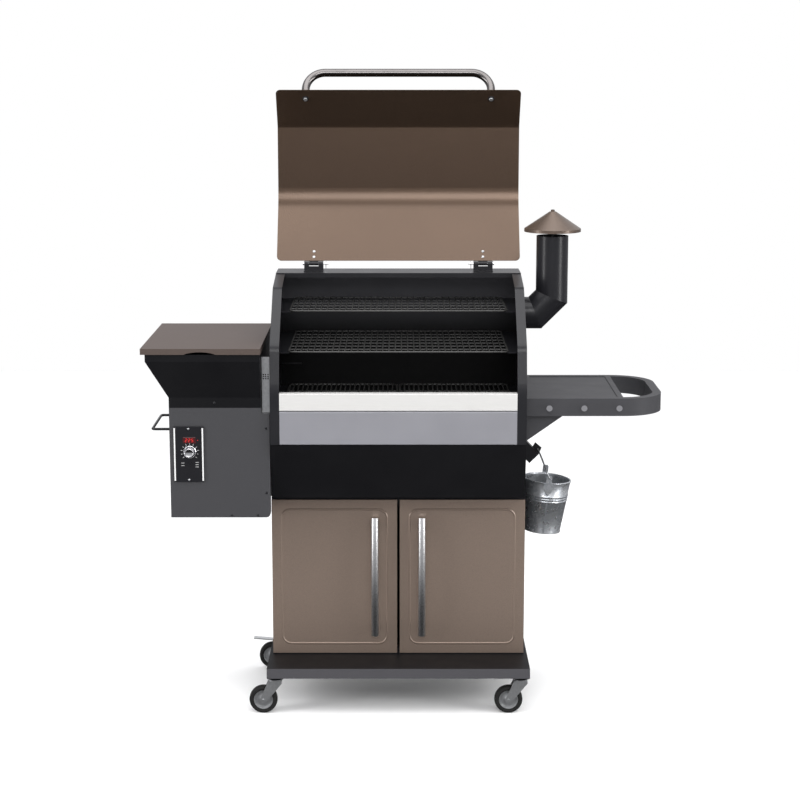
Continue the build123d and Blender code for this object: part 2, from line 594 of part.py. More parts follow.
# ---- Grease drain ----
hook_x, hook_z = BAIL_HOOK
spout_way = Vector(1, 0, -1.034).normalized()
spout_start = (BARREL_HALF - 40 * spout_way.X, SPOUT_Y, 788 - 40 * spout_way.Z)
with BuildPart() as drain_spout:
    with BuildSketch(Plane(origin=spout_start, x_dir=(0, 1, 0), z_dir=spout_way)):
        Rectangle(40, 41)
        Rectangle(37, 38, mode=Mode.SUBTRACT)
    extrude(amount=103)
    split(bisect_by=Plane.YZ.offset(BARREL_HALF), keep=Keep.TOP)
    with BuildSketch(Plane.XZ.offset(-SPOUT_Y)):
        Polygon((419, 775.6), (428, 791), (448, 774), (440, 754), align=None)
        with Locations((hook_x, hook_z)):
            Circle(2.4, mode=Mode.SUBTRACT)
    extrude(amount=1.5, both=True)
write(drain_spout, "drain_spout")

with BuildPart() as bucket:
    with BuildSketch(Plane.XZ.offset(-SPOUT_Y)):
        with BuildLine():
            Polyline(
                (EARS[0], BUCKET_LOW),
                (EARS[0] + BUCKET_FOOT_R, BUCKET_LOW),
                (EARS[0] + BUCKET_RIM_R, BUCKET_HIGH),
                (EARS[0] + BUCKET_RIM_R - 1.2, BUCKET_HIGH),
                (EARS[0] + BUCKET_FOOT_R - 1.2, BUCKET_LOW + 1.2),
                (EARS[0], BUCKET_LOW + 1.2),
                close=True,
            )
        make_face()
        with Locations((EARS[0] + BUCKET_RIM_R - 0.6, BUCKET_HIGH - 0.5)):
            Circle(2.5)
    revolve(axis=Axis((EARS[0], SPOUT_Y, 0), (0, 0, 1)))
    for side in (-1, 1):
        for near, far, low, high in ((71, 80, -50, -38), (77.5, 80, -50, 9)):
            low_y, high_y = sorted((SPOUT_Y + side * near, SPOUT_Y + side * far))
            block((EARS[0] - 9, low_y, EARS[1] + low), (EARS[0] + 9, high_y, EARS[1] + high))
        rod(
            (EARS[0], SPOUT_Y + side * 74, EARS[1]),
            (EARS[0], SPOUT_Y + side * 84, EARS[1]),
            2 + FIT,
            Mode.SUBTRACT,
        )
bucket.part = bucket.part.rotate(Axis((EARS[0], SPOUT_Y, EARS[1]), (0, 1, 0)), BUCKET_LEAN)
write(bucket, "bucket")

with BuildPart() as bucket_bail:
    rise = Vector(BAIL_HOOK[0] - EARS[0], 0, BAIL_HOOK[1] - EARS[1])
    bail_plane = Plane(origin=(EARS[0], SPOUT_Y, EARS[1]), x_dir=(0, 1, 0), z_dir=Vector(0, 1, 0).cross(rise))
    top = rise.length
    with BuildLine(bail_plane) as bail_path:
        FilletPolyline(
            (-76, 0), (-86, 0), (-86, 22), (-26, top), (26, top), (86, 22), (86, 0), (76, 0),
            radius=[4, 20, 20, 20, 20, 4],
        )
    with BuildSketch(Plane(origin=bail_path.line @ 0, z_dir=bail_path.line % 0)):
        Circle(2)
    sweep()
write(bucket_bail, "bucket_bail")

# ---- Hopper ----
LID_TOP = 1137
LID_PIVOT_Y, LID_PIVOT_Z = 511, BIN_RIM + 3  # axis of the hopper lid's hinges


def tapered(low, high):
    """A block that tapers between two rectangles given as (x0, x1, y0, y1, z)."""
    with BuildPart() as taper:
        for x0, x1, y0, y1, z in (low, high):
            with BuildSketch(Plane.XY.offset(z)):
                with Locations(((x0 + x1) / 2, (y0 + y1) / 2)):
                    Rectangle(x1 - x0, y1 - y0)
        loft()
    return taper.part


def shrink(frame):
    """The same rectangle, one sheet smaller all round."""
    x0, x1, y0, y1, z = frame
    return (x0 + SHEET, x1 - SHEET, y0 + SHEET, y1 - SHEET, z)


RIM = (-744, HOPPER_RIGHT, -16, BARREL_BACK)
COLLAR = (HOPPER_LEFT, HOPPER_RIGHT, HOPPER_FRONT, BARREL_BACK)
FUNNEL_TOP = (-677, -410, 38, 502, BOX_HIGH + 2)
FUNNEL_LOW = (-552, -488, AUGER_Y - 20, AUGER_Y + 20, AUGER_Z + 30)
KNUCKLE_XS = (-700, -500)
flare = tapered((*COLLAR, BIN_LOW), (*RIM, BIN_FLARE))
flare_inside = tapered(shrink((*COLLAR, BIN_LOW)), shrink((*RIM, BIN_FLARE)))
funnel = tapered(FUNNEL_LOW, FUNNEL_TOP)
funnel_inside = tapered(shrink(FUNNEL_LOW), shrink(FUNNEL_TOP))
with BuildPart() as hopper_bin:
    add(flare)
    block((RIM[0], RIM[2], BIN_FLARE), (RIM[1], RIM[3], BIN_RIM))
    block((COLLAR[0], COLLAR[2], BOX_HIGH), (COLLAR[1], COLLAR[3], BIN_LOW))
    add(funnel)
    add(flare_inside, mode=Mode.SUBTRACT)
    block(
        (RIM[0] + SHEET, RIM[2] + SHEET, BIN_FLARE),
        (RIM[1] - SHEET, RIM[3] - SHEET, BIN_RIM),
        Mode.SUBTRACT,
    )
    block(
        (COLLAR[0] + SHEET, COLLAR[2] + SHEET, BOX_HIGH + 2),
        (COLLAR[1] - SHEET, COLLAR[3] - SHEET, BIN_LOW),
        Mode.SUBTRACT,
    )
    add(funnel_inside, mode=Mode.SUBTRACT)
    for low_x in KNUCKLE_XS:
        rod((low_x - 12, LID_PIVOT_Y, LID_PIVOT_Z), (low_x + 62, LID_PIVOT_Y, LID_PIVOT_Z), 2)
        for knuckle_x in (low_x - 12, low_x + 50.5):
            rod((knuckle_x, LID_PIVOT_Y, LID_PIVOT_Z), (knuckle_x + 11.5, LID_PIVOT_Y, LID_PIVOT_Z), 4)
            block((knuckle_x, BARREL_BACK - 1, BIN_RIM - 19), (knuckle_x + 11.5, LID_PIVOT_Y, BIN_RIM - 3))
            block((knuckle_x, BARREL_BACK + 2, BIN_RIM - 5), (knuckle_x + 11.5, LID_PIVOT_Y + 4, LID_PIVOT_Z))
write(hopper_bin, "hopper_bin")

with BuildPart() as hopper_guard:
    grille((-543.5, 259), (269, 487), BIN_LOW + 1, BIN_LOW + 5, 12, 14, rim=5, wire=3)
write(hopper_guard, "hopper_guard")

with BuildPart() as hopper_lid:
    block((-757, -20, BIN_RIM + 0.4), (-405, 503, LID_TOP))
    block((-755, -18, BIN_RIM), (-407, 501, LID_TOP - 2), Mode.SUBTRACT)
    with BuildSketch(Plane.XZ.offset(21)):
        with Locations((-583, BIN_RIM - 4)):
            Ellipse(50, 12)
    extrude(amount=-3.2, mode=Mode.SUBTRACT)
    for low_x in KNUCKLE_XS:
        rod((low_x, LID_PIVOT_Y, LID_PIVOT_Z), (low_x + 50, LID_PIVOT_Y, LID_PIVOT_Z), 4)
        block((low_x, 502, LID_PIVOT_Z), (low_x + 50, LID_PIVOT_Y + 4, LID_PIVOT_Z + 4))
        rod(
            (low_x - 1, LID_PIVOT_Y, LID_PIVOT_Z),
            (low_x + 51, LID_PIVOT_Y, LID_PIVOT_Z),
            2 + FIT,
            Mode.SUBTRACT,
        )
write(hopper_lid, "hopper_lid")

with BuildPart() as hopper_box:
    block((HOPPER_LEFT, COVER_BACK, BOX_LOW), (HOPPER_RIGHT, BARREL_BACK, BOX_HIGH))
    block(
        (HOPPER_LEFT + 1.5, COVER_BACK, BOX_LOW + 1.5),
        (HOPPER_RIGHT - 1.5, BARREL_BACK - 1.5, BOX_HIGH),
        Mode.SUBTRACT,
    )
    rod((-400, AUGER_Y, AUGER_Z), (-420, AUGER_Y, AUGER_Z), 26, Mode.SUBTRACT)
    block((-640, BARREL_BACK - 5, 650), (-608, BARREL_BACK + 5, 690), Mode.SUBTRACT)
write(hopper_box, "hopper_box")

with BuildPart() as front_cover:
    block((HOPPER_LEFT, HOPPER_FRONT, BOX_LOW), (COVER_RIGHT, COVER_BACK, BOX_HIGH))
    block((HOPPER_RIGHT + 1, 0, 938), (COVER_RIGHT + 1, 40, BOX_HIGH + 1), Mode.SUBTRACT)
    fillet(front_cover.edges().filter_by(Axis.Y).group_by(Axis.Z)[0].sort_by(Axis.X)[-1], radius=14)
    offset(
        amount=-SHEET,
        openings=front_cover.faces().filter_by(Axis.Y).sort_by(Axis.Y)[-1],
    )
write(front_cover, "front_cover")

GUARD_HIGH = 1104
with BuildPart() as heat_guard:
    block((-406.8, 60, 676), (-380.2, 470, 936))
    block((-404, 62, 675), (-383, 468, 934), Mode.SUBTRACT)
    rod((-370, AUGER_Y, AUGER_Z), (-410, AUGER_Y, AUGER_Z), 26, Mode.SUBTRACT)
    block((-405, 36, 934), (-382, 62, 936))
    block((-405, 36, 934), (-382, 37.5, GUARD_HIGH))
    with Locations(Plane(origin=(-393.5, 36, 1045), z_dir=(0, -1, 0))):
        with GridLocations(6, 7, 3, 15):
            Hole(2.2, depth=4)
write(heat_guard, "heat_guard")

with BuildPart() as power_inlet:
    block((-639, BARREL_BACK - 28, 651), (-609, BARREL_BACK, 689))
    block((-645, BARREL_BACK, 645), (-603, BARREL_BACK + 3, 695))
    block((-634, BARREL_BACK - 14, 658), (-614, BARREL_BACK + 4, 682), Mode.SUBTRACT)
write(power_inlet, "power_inlet")

# ---- Controller ----
PANEL_X, PANEL_Z = (-668, -578), (731, 899)
KNOB_X, KNOB_Z = -620, 822
BUTTON_X, BUTTON_Z = -620, 785
PANEL_FRONT = HOPPER_FRONT - 4
with BuildPart() as controller_plate:
    block((PANEL_X[0], PANEL_FRONT, PANEL_Z[0]), (PANEL_X[1], HOPPER_FRONT, PANEL_Z[1]))
    rod((KNOB_X, 0, KNOB_Z), (KNOB_X, 20, KNOB_Z), 4 + FIT, Mode.SUBTRACT)
    rod((BUTTON_X, 0, BUTTON_Z), (BUTTON_X, 20, BUTTON_Z), 5 + FIT, Mode.SUBTRACT)
    block((-640, PANEL_FRONT - 1, 849), (-602, PANEL_FRONT + 2, 867), Mode.SUBTRACT)
    for low_x in (-667, -583.5):
        block((low_x, PANEL_FRONT - 1.5, PANEL_Z[0] + 4), (low_x + 4.5, PANEL_FRONT, PANEL_Z[1] - 4))
    rod((KNOB_X, PANEL_FRONT, KNOB_Z), (KNOB_X, PANEL_FRONT - 2, KNOB_Z), 19)
    rod((KNOB_X, PANEL_FRONT, KNOB_Z), (KNOB_X, PANEL_FRONT - 3, KNOB_Z), 15.5, Mode.SUBTRACT)
write(controller_plate, "controller_plate")

with BuildPart() as display_window:
    block((-640, PANEL_FRONT + 0.4, 849), (-602, PANEL_FRONT + 2, 867))
write(display_window, "display_window")

with BuildPart() as control_knob:
    rod((KNOB_X, PANEL_FRONT - 0.5, KNOB_Z), (KNOB_X, PANEL_FRONT - 16, KNOB_Z), 14.5)
    rod((KNOB_X, PANEL_FRONT - 1, KNOB_Z), (KNOB_X, HOPPER_FRONT - 0.4, KNOB_Z), 4)
    fillet(control_knob.faces().sort_by(Axis.Y)[0].edges(), radius=2)
    block(
        (KNOB_X - 1, PANEL_FRONT - 17, KNOB_Z + 4),
        (KNOB_X + 1, PANEL_FRONT - 15, KNOB_Z + 13),
        Mode.SUBTRACT,
    )
write(control_knob, "control_knob")

with BuildPart() as power_button:
    rod((BUTTON_X, PANEL_FRONT - 3, BUTTON_Z), (BUTTON_X, HOPPER_FRONT - 1.6, BUTTON_Z), 5)
write(power_button, "power_button")

# ---- Left side handle ----
GRIP_X, GRIP_Z, GRIP_Y = -738, 879, (73, 292)
with BuildPart() as side_handle:
    with BuildLine(Plane.XY.offset(GRIP_Z)) as grip:
        FilletPolyline(
            (HOPPER_LEFT, GRIP_Y[0]),
            (GRIP_X, GRIP_Y[0]),
            (GRIP_X, GRIP_Y[1]),
            (HOPPER_LEFT, GRIP_Y[1]),
            radius=10,
        )
    with BuildSketch(Plane(origin=grip.line @ 0, z_dir=grip.line % 0)):
        Circle(4)
    sweep()
    for y in GRIP_Y:
        block((HOPPER_LEFT - 3, y - 5, GRIP_Z - 26), (HOPPER_LEFT, y + 5, GRIP_Z + 2))
        rod((HOPPER_LEFT - 3, y, GRIP_Z - 19), (HOPPER_LEFT - 6, y, GRIP_Z - 19), 4.5)
write(side_handle, "side_handle")

# ---- Casing screws ----
cover_spots = [(-393, 893), (-393, 697), (-498, 628), (-420, 628), (-545, 970)]
front_screws = [(x, HOPPER_FRONT, z) for x, z in cover_spots]
front_screws += [(-623, PANEL_FRONT, z) for z in (737.5, 892.5)]
with BuildPart() as casing_screws:
    with Locations(*[Plane(origin=place, z_dir=(0, -1, 0)) for place in front_screws]):
        Cylinder(4, 2.4, align=(Align.CENTER, Align.CENTER, Align.MIN))
write(casing_screws, "casing_screws")
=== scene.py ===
# %% [markdown]
# # A pellet smoker grill, dressed for its portrait
# The grill's shapes and joints come from a packed engineering model, which stays as it is. This lesson gives that
# model its finishes: bronze and black enamel, brushed and polished steel, zinc, rubber and wire. It replaces the
# parts that a plain solid can't show well, such as the wire racks, the rolled bucket and the dial.
# Everything is in metres, with X to the right, Y to the back and Z up from the floor.

import json
from math import cos, pi, radians, sin

import bmesh
import bpy
from mathutils import Matrix, Vector


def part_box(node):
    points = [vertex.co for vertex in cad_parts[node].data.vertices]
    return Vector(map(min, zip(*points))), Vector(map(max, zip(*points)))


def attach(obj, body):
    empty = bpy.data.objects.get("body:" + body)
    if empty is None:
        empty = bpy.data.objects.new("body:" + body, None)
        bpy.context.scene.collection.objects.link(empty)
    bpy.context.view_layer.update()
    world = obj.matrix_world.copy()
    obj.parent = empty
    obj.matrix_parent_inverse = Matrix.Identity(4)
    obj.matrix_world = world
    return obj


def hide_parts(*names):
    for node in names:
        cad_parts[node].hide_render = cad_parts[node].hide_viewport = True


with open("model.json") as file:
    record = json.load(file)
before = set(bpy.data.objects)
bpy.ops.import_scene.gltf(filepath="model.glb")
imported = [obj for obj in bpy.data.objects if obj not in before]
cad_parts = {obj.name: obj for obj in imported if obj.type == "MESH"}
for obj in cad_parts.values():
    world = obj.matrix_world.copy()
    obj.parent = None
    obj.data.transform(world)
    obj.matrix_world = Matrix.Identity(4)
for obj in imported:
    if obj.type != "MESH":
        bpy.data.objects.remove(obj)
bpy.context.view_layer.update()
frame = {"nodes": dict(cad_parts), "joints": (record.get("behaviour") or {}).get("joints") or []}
nodes = frame["nodes"]
scene = bpy.context.scene

# %% [markdown]
# ## The camera
# A product camera stands far away with a long lens, so that the cabinet's sides stay upright and the shelf and the
# hopper keep their true widths. It is a little above the hopper's lid and looks down by about eleven degrees.
# A camera's angle could come from a Track To constraint, but two plain numbers are easier to read and to repeat.

# %% Camera
CAMERA_PLACE = (-0.0135, -5.6815, 1.997)
CAMERA_DOWN = 10.6
camera = bpy.data.objects.new("camera", bpy.data.cameras.new("camera"))
camera.data.sensor_width = 36
camera.data.lens = 84.15
camera.location = CAMERA_PLACE
camera.rotation_euler = (radians(90 - CAMERA_DOWN), 0, 0)
scene.collection.objects.link(camera)
scene.camera = camera
print("camera", round(camera.location.y, 2), "m in front of the grill's middle")

# %% [markdown]
# ## Floor and light
# A studio gets its even white look from a pale floor that runs on out of sight and from broad, soft lamps.
# Glossy enamel and steel show whatever stands round them, so the lamps' sizes and places matter as much as their
# strength: a wide one overhead, a tall strip on each side, and a soft one by the camera.

# %% Floor and lamps
FLOOR_HALF = 6
floor_corners = [(x * FLOOR_HALF, y * FLOOR_HALF, 0) for x, y in ((-1, -1), (1, -1), (1, 1), (-1, 1))]
floor_mesh = bpy.data.meshes.new("floor")
floor_mesh.from_pydata(floor_corners, [], [(0, 1, 2, 3)])
floor = bpy.data.objects.new("floor", floor_mesh)
scene.collection.objects.link(floor)

LAMPS = {
    "overhead": ((0, -0.6, 4.2), (0, 0, 1.0), (4.5, 3.0), 110),
    "left_strip": ((-3.2, -1.6, 1.7), (0, 0, 0.9), (0.9, 3.2), 60),
    "right_strip": ((3.2, -1.6, 1.7), (0, 0, 0.9), (0.9, 3.2), 60),
    "front": ((0.4, -5.0, 3.4), (0, 0, 0.9), (3.0, 1.6), 90),
}
for name, (place, target, size, power) in LAMPS.items():
    lamp = bpy.data.objects.new(name, bpy.data.lights.new(name, "AREA"))
    lamp.data.shape = "RECTANGLE"
    lamp.data.size, lamp.data.size_y = size
    lamp.data.energy = power
    lamp.location = place
    lamp.rotation_euler = (Vector(target) - Vector(place)).to_track_quat("-Z", "Y").to_euler()
    scene.collection.objects.link(lamp)
print(len(LAMPS), "lamps")

# %% [markdown]
# ## A small language for finishes
# A finish is a net of nodes. Two small classes keep it short to write. `Wire` is one output of a node, and sums
# written with it add Math nodes, so `1 - grain * 0.2` is two nodes. `Board` holds the net and adds any other node
# from its type, its settings and what goes into its sockets.

# %% Wires and boards
class Wire:
    """One output of a node. Arithmetic on it adds Math nodes."""

    def __init__(self, board, socket):
        self.board, self.socket = board, socket

    def join(self, operation, first, second):
        return self.board.add("ShaderNodeMath", {"operation": operation}, {0: first, 1: second})

    def __add__(self, other):
        return self.join("ADD", self, other)

    def __radd__(self, other):
        return self.join("ADD", other, self)

    def __sub__(self, other):
        return self.join("SUBTRACT", self, other)

    def __rsub__(self, other):
        return self.join("SUBTRACT", other, self)

    def __mul__(self, other):
        return self.join("MULTIPLY", self, other)

    def __rmul__(self, other):
        return self.join("MULTIPLY", other, self)

    def __truediv__(self, other):
        return self.join("DIVIDE", self, other)

    def __pow__(self, other):
        return self.join("POWER", self, other)

    def __gt__(self, other):
        return self.join("GREATER_THAN", self, other)

    def __lt__(self, other):
        return self.join("LESS_THAN", self, other)


class Board:
    """A node tree that is written to by calls of `add`."""

    def __init__(self, tree):
        self.tree = tree

    def add(self, kind, settings=None, sockets=None, output=0):
        """A node of that type with its settings, then the values or wires of its sockets."""
        node = self.tree.nodes.new(kind)
        for key, value in (settings or {}).items():
            if key == "ramp":
                while len(node.color_ramp.elements) < len(value):
                    node.color_ramp.elements.new(0.5)
                for element, (place, colour) in zip(node.color_ramp.elements, value):
                    element.position, element.color = place, colour
            else:
                setattr(node, key, value)
        for key, value in (sockets or {}).items():
            if isinstance(value, Wire):
                self.tree.links.new(value.socket, node.inputs[key])
            else:
                node.inputs[key].default_value = value
        return Wire(self, node.outputs[output]) if node.outputs else node


print("Wire and Board are ready")

# %% [markdown]
# ## Finishes as one class
# Every finish here starts as a Principled surface. Numbers that are the same all over are set straight on its
# sockets. What varies over the surface comes from Object coordinates, which stay fixed to a piece as it moves.

# %% Finish
FINISHES = {}


class Finish(Board):
    """A material with its Principled surface, and the few patterns that metal and enamel need."""

    def __init__(self, name, **constants):
        self.material = bpy.data.materials.new(name)
        self.material.use_nodes = True
        super().__init__(self.material.node_tree)
        self.surface = self.tree.nodes["Principled BSDF"]
        for key, value in constants.items():
            self.surface.inputs[key.replace("_", " ")].default_value = value
        self.place = self.add("ShaderNodeTexCoord", output="Object")
        FINISHES[name] = self

    def feed(self, **wires):
        for key, wire in wires.items():
            self.tree.links.new(wire.socket, self.surface.inputs[key.replace("_", " ")])

    def stretched(self, scale):
        """Object coordinates stretched along each axis."""
        return self.add("ShaderNodeMapping", sockets={"Vector": self.place, "Scale": scale})

    def noise(self, scale, detail=2, along=None):
        where = self.stretched(along) if along else self.place
        return self.add("ShaderNodeTexNoise", sockets={"Vector": where, "Scale": scale, "Detail": detail})

    def blend(self, amount, first, second):
        """A colour between two colours."""
        return self.add("ShaderNodeMix", {"data_type": "RGBA"}, {0: amount, 6: first, 7: second}, output=2)

    def bump(self, height, distance, strength=1.0, normal=None):
        sockets = {"Height": height, "Distance": distance, "Strength": strength}
        if normal:
            sockets["Normal"] = normal
        return self.add("ShaderNodeBump", sockets=sockets)


print("Finish is ready")

# %% [markdown]
# ## Floor and studio walls
# The studio floor is matt and nearly white, and a white card behind the camera would be the usual way to light the
# front. Here the world does both: the backdrop is white, while the grill's gloss mirrors a softer room that is
# bright overhead, grey at eye level and dark below, as a studio with black cloth on its floor is. A ramp over the
# height of the mirrored direction gives those tones. The floor itself is kept out of mirror images, because a
# polished part would otherwise glow from underneath.

# %% Floor finish and world
studio = Finish("studio_floor", Roughness=0.9, Specular_IOR_Level=0.1)
studio.feed(Base_Color=studio.blend(studio.noise(0.8), (0.95, 0.95, 0.95, 1), (0.98, 0.98, 0.98, 1)))
floor_mesh.materials.append(studio.material)
floor.visible_glossy = False

world = bpy.data.worlds.new("studio")
world.use_nodes = True
room = Board(world.node_tree)
direction = room.add("ShaderNodeTexCoord", output="Generated")
height = room.add("ShaderNodeSeparateXYZ", sockets={"Vector": direction}, output="Z")
ROOM_TONES = {0.0: 0.01, 0.31: 0.02, 0.36: 0.13, 0.42: 0.4, 0.52: 0.42, 0.62: 0.8, 0.85: 1.0}
ROOM_STOPS = [(place, (tone, tone, tone * 1.03, 1)) for place, tone in ROOM_TONES.items()]
mirrored = room.add("ShaderNodeValToRGB", {"ramp": ROOM_STOPS}, {"Fac": height * 0.5 + 0.5})
seen = room.add("ShaderNodeLightPath", output="Is Camera Ray")
gloss = room.add("ShaderNodeLightPath", output="Is Glossy Ray")
SOFT_WHITE, WHITE = (0.95, 0.95, 0.96, 1), (1, 1, 1, 1)
lit = room.add("ShaderNodeMix", {"data_type": "RGBA"}, {0: gloss, 6: SOFT_WHITE, 7: mirrored}, output=2)
shown = room.add("ShaderNodeMix", {"data_type": "RGBA"}, {0: seen, 6: lit, 7: WHITE}, output=2)
room.tree.links.new(shown.socket, room.tree.nodes["Background"].inputs["Color"])
scene.world = world
scene.view_settings.view_transform = "Standard"
print("the mirrored room has", len(ROOM_STOPS), "tones")

# %% [markdown]
# ## Bronze enamel
# The lid, the doors, the hopper's lid and the cap have a bronze enamel with fine metal flakes under a clear coat.
# The flakes could be a picture, but a cell pattern a fraction of a millimetre wide keeps its size on every piece.
# A shallow bump gives the baked enamel its soft, slightly uneven shine. The copies differ in tone by painted light
# and shade: the doors are a lighter copy (painted light), and the lid and the hopper's lid are darker copies
# (painted shade).
# The lid is also the glossiest, and the hopper's lid is matt with no clear coat, so one function makes all four from
# two tones, a metallic share and a roughness.

# %% Bronze enamel
FLAKES_PER_METRE = 900


def bronze_enamel(name, pale, deep, metallic, roughness, coat=0.25):
    """Metal-flake enamel between two tones."""
    bronze = Finish(name, Metallic=metallic, Coat_Weight=coat, Coat_Roughness=0.18)
    flakes = bronze.add(
        "ShaderNodeTexVoronoi", sockets={"Vector": bronze.place, "Scale": FLAKES_PER_METRE}, output="Distance"
    )
    cloud = bronze.noise(2.5, 3)
    bronze.feed(
        Base_Color=bronze.blend(flakes * 0.7 + cloud * 0.3, (*pale, 1), (*deep, 1)),
        Roughness=roughness + cloud * 0.1 + flakes * 0.08,
        Normal=bronze.bump(bronze.noise(420, 1), 0.0003, 0.35),
    )


bronze_enamel("bronze_enamel", (0.16, 0.118, 0.092), (0.08, 0.058, 0.046), 0.7, 0.3)
# Painted shade: the lid's and the hopper lid's copies are darker. Painted light: the doors' copy is lighter.
bronze_enamel("lid_bronze", (0.105, 0.067, 0.045), (0.045, 0.028, 0.018), 0.8, 0.2)
bronze_enamel("door_bronze", (0.30, 0.228, 0.184), (0.17, 0.13, 0.104), 0.6, 0.34)
bronze_enamel("hopper_bronze", (0.080, 0.056, 0.046), (0.048, 0.034, 0.028), 0.2, 0.45, coat=0.0)
print("bronze enamels:", len(FINISHES) - 1)

# %% [markdown]
# ## Black enamel
# The barrel, the base and the hopper are black enamel over sheet steel. Baked enamel flows into tiny rounded
# hills, called orange peel, that break up every reflection. The hills are a bump about two millimetres wide.
# The lower panel and the hopper's bin take a darker copy of the black enamel, which is painted shade, and the
# hopper's casing is a rough powder coat.

# %% Black enamels
black = Finish("black_enamel", Specular_IOR_Level=0.25, Coat_Weight=0.1, Coat_Roughness=0.12)
peel = black.noise(330, 1)
black.feed(
    Base_Color=black.blend(black.noise(6, 2), (0.007, 0.007, 0.009, 1), (0.013, 0.013, 0.015, 1)),
    Roughness=0.27 + black.noise(14, 2) * 0.1,
    Normal=black.bump(peel, 0.0006, 0.3),
)

# A darker, matter copy of the black enamel: painted shade on the lower panel and the hopper's bin.
deep_black = Finish("deep_black", Specular_IOR_Level=0.12)
deep_black.feed(
    Base_Color=deep_black.blend(deep_black.noise(6, 2), (0.003, 0.003, 0.004, 1), (0.006, 0.006, 0.007, 1)),
    Roughness=0.42 + deep_black.noise(14, 2) * 0.12,
    Normal=deep_black.bump(deep_black.noise(330, 1), 0.0005, 0.25),
)

powder = Finish("powder_coat", Specular_IOR_Level=0.4)
grit = powder.noise(900, 1)
powder.feed(
    Base_Color=powder.blend(grit, (0.022, 0.022, 0.025, 1), (0.042, 0.042, 0.046, 1)),
    Roughness=0.46 + grit * 0.12,
    Normal=powder.bump(grit, 0.0004, 0.4),
)
print("finishes so far:", len(FINISHES))

# %% [markdown]
# ## Enamels that change over a part
# The base is painted grey on its front face, as painted light, and black on top, as painted shade under the cabinet,
# and the barrel's inside is painted darker towards the bottom, as painted shade under the racks. Paint on the mesh
# could say this, but both tones only follow one axis, so a part's own coordinates are enough: a threshold in Y for
# the base, and a ramp over Z for the barrel's painted shade.

# %% Base and smoked enamels
satin = Finish("base_enamel", Specular_IOR_Level=0.12)
front_y = satin.add("ShaderNodeSeparateXYZ", sockets={"Vector": satin.place}, output="Y")
BASE_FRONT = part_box("base_shelf")[0][1] + 0.0006
# Painted light on the front face and painted shade on the top.
satin.feed(
    Base_Color=satin.blend(front_y < BASE_FRONT, (0.005, 0.005, 0.006, 1), (0.052, 0.051, 0.056, 1)),
    Roughness=0.45 + satin.noise(14, 2) * 0.1,
    Normal=satin.bump(satin.noise(330, 1), 0.0005, 0.25),
)

barrel_shade = Finish("smoked_enamel", Specular_IOR_Level=0.15)
rise = barrel_shade.add("ShaderNodeSeparateXYZ", sockets={"Vector": barrel_shade.place}, output="Z")
# Painted shade: the barrel's inside is black low down and lighter towards the top.
SHADE_LOW, SHADE_DEPTH = 1.02, 0.27
SHADE_TONES = {0.0: (0.001, 0.001, 0.0012, 1), 0.35: (0.003, 0.003, 0.0035, 1), 1.0: (0.085, 0.085, 0.095, 1)}
shade_stops = list(SHADE_TONES.items())
share_up = (rise - SHADE_LOW) / SHADE_DEPTH
painted_shade_tone = barrel_shade.add("ShaderNodeValToRGB", {"ramp": shade_stops}, {"Fac": share_up})
barrel_shade.feed(
    Base_Color=barrel_shade.blend(barrel_shade.noise(9, 3) * 0.3, painted_shade_tone, (0.002, 0.002, 0.002, 1)),
    Roughness=0.5 + barrel_shade.noise(14, 2) * 0.15,
    Normal=barrel_shade.bump(barrel_shade.noise(330, 1), 0.0005, 0.25),
)
# The painted shade in the barrel fades over this height.
print("the smoke clears over", SHADE_DEPTH, "m")

# %% [markdown]
# ## Shelf and front panel
# The side shelf is a satin coat with little gloss, since a glossy one would mirror the ceiling and turn pale. The
# panel under the steel strip is a lighter, part-metallic grey.

# %% Shelf and panel enamels
shelf_satin = Finish("shelf_satin", Specular_IOR_Level=0.15)
shelf_satin.feed(
    Base_Color=shelf_satin.blend(shelf_satin.noise(9, 2), (0.045, 0.045, 0.049, 1), (0.034, 0.034, 0.037, 1)),
    Roughness=0.45 + shelf_satin.noise(14, 2) * 0.1,
    Normal=shelf_satin.bump(shelf_satin.noise(700, 1), 0.0003, 0.3),
)

grey = Finish("grey_enamel", Metallic=0.45, Coat_Weight=0.2, Coat_Roughness=0.2)
grey.feed(
    Base_Color=grey.blend(grey.noise(6, 2), (0.28, 0.28, 0.305, 1), (0.23, 0.23, 0.252, 1)),
    Roughness=0.36 + grey.noise(14, 2) * 0.1,
    Normal=grey.bump(grey.noise(330, 1), 0.0005, 0.25),
)
print("finishes so far:", len(FINISHES))

# %% [markdown]
# ## Steel
# The strip under the opening and the door handles are brushed: fine scratches all run one way. Stretching a noise
# pattern along that way makes them. The tool pegs are polished chrome, and the lid's handle is a darker one.

# %% Steel finishes
strip_steel = Finish("brushed_strip", Metallic=0.3)
lines = strip_steel.noise(60, 3, along=(0.4, 40, 40))
strip_steel.feed(
    Base_Color=strip_steel.blend(lines, (0.62, 0.615, 0.60, 1), (0.48, 0.475, 0.465, 1)),
    Roughness=0.3 + lines * 0.2,
    Normal=strip_steel.bump(lines, 0.0001, 0.25),
)

tube_steel = Finish("brushed_tube", Metallic=1.0)
hairs = tube_steel.noise(60, 3, along=(40, 40, 0.6))
tube_steel.feed(
    Base_Color=tube_steel.blend(hairs, (0.78, 0.78, 0.78, 1), (0.56, 0.56, 0.57, 1)),
    Roughness=0.2 + hairs * 0.18,
    Normal=tube_steel.bump(hairs, 0.0001, 0.25),
)

chrome = Finish("polished_chrome", Metallic=1.0)
smudge = chrome.noise(18, 4)
chrome.feed(
    Base_Color=chrome.blend(smudge, (0.84, 0.84, 0.86, 1), (0.74, 0.74, 0.77, 1)),
    Roughness=0.06 + smudge * 0.07,
)

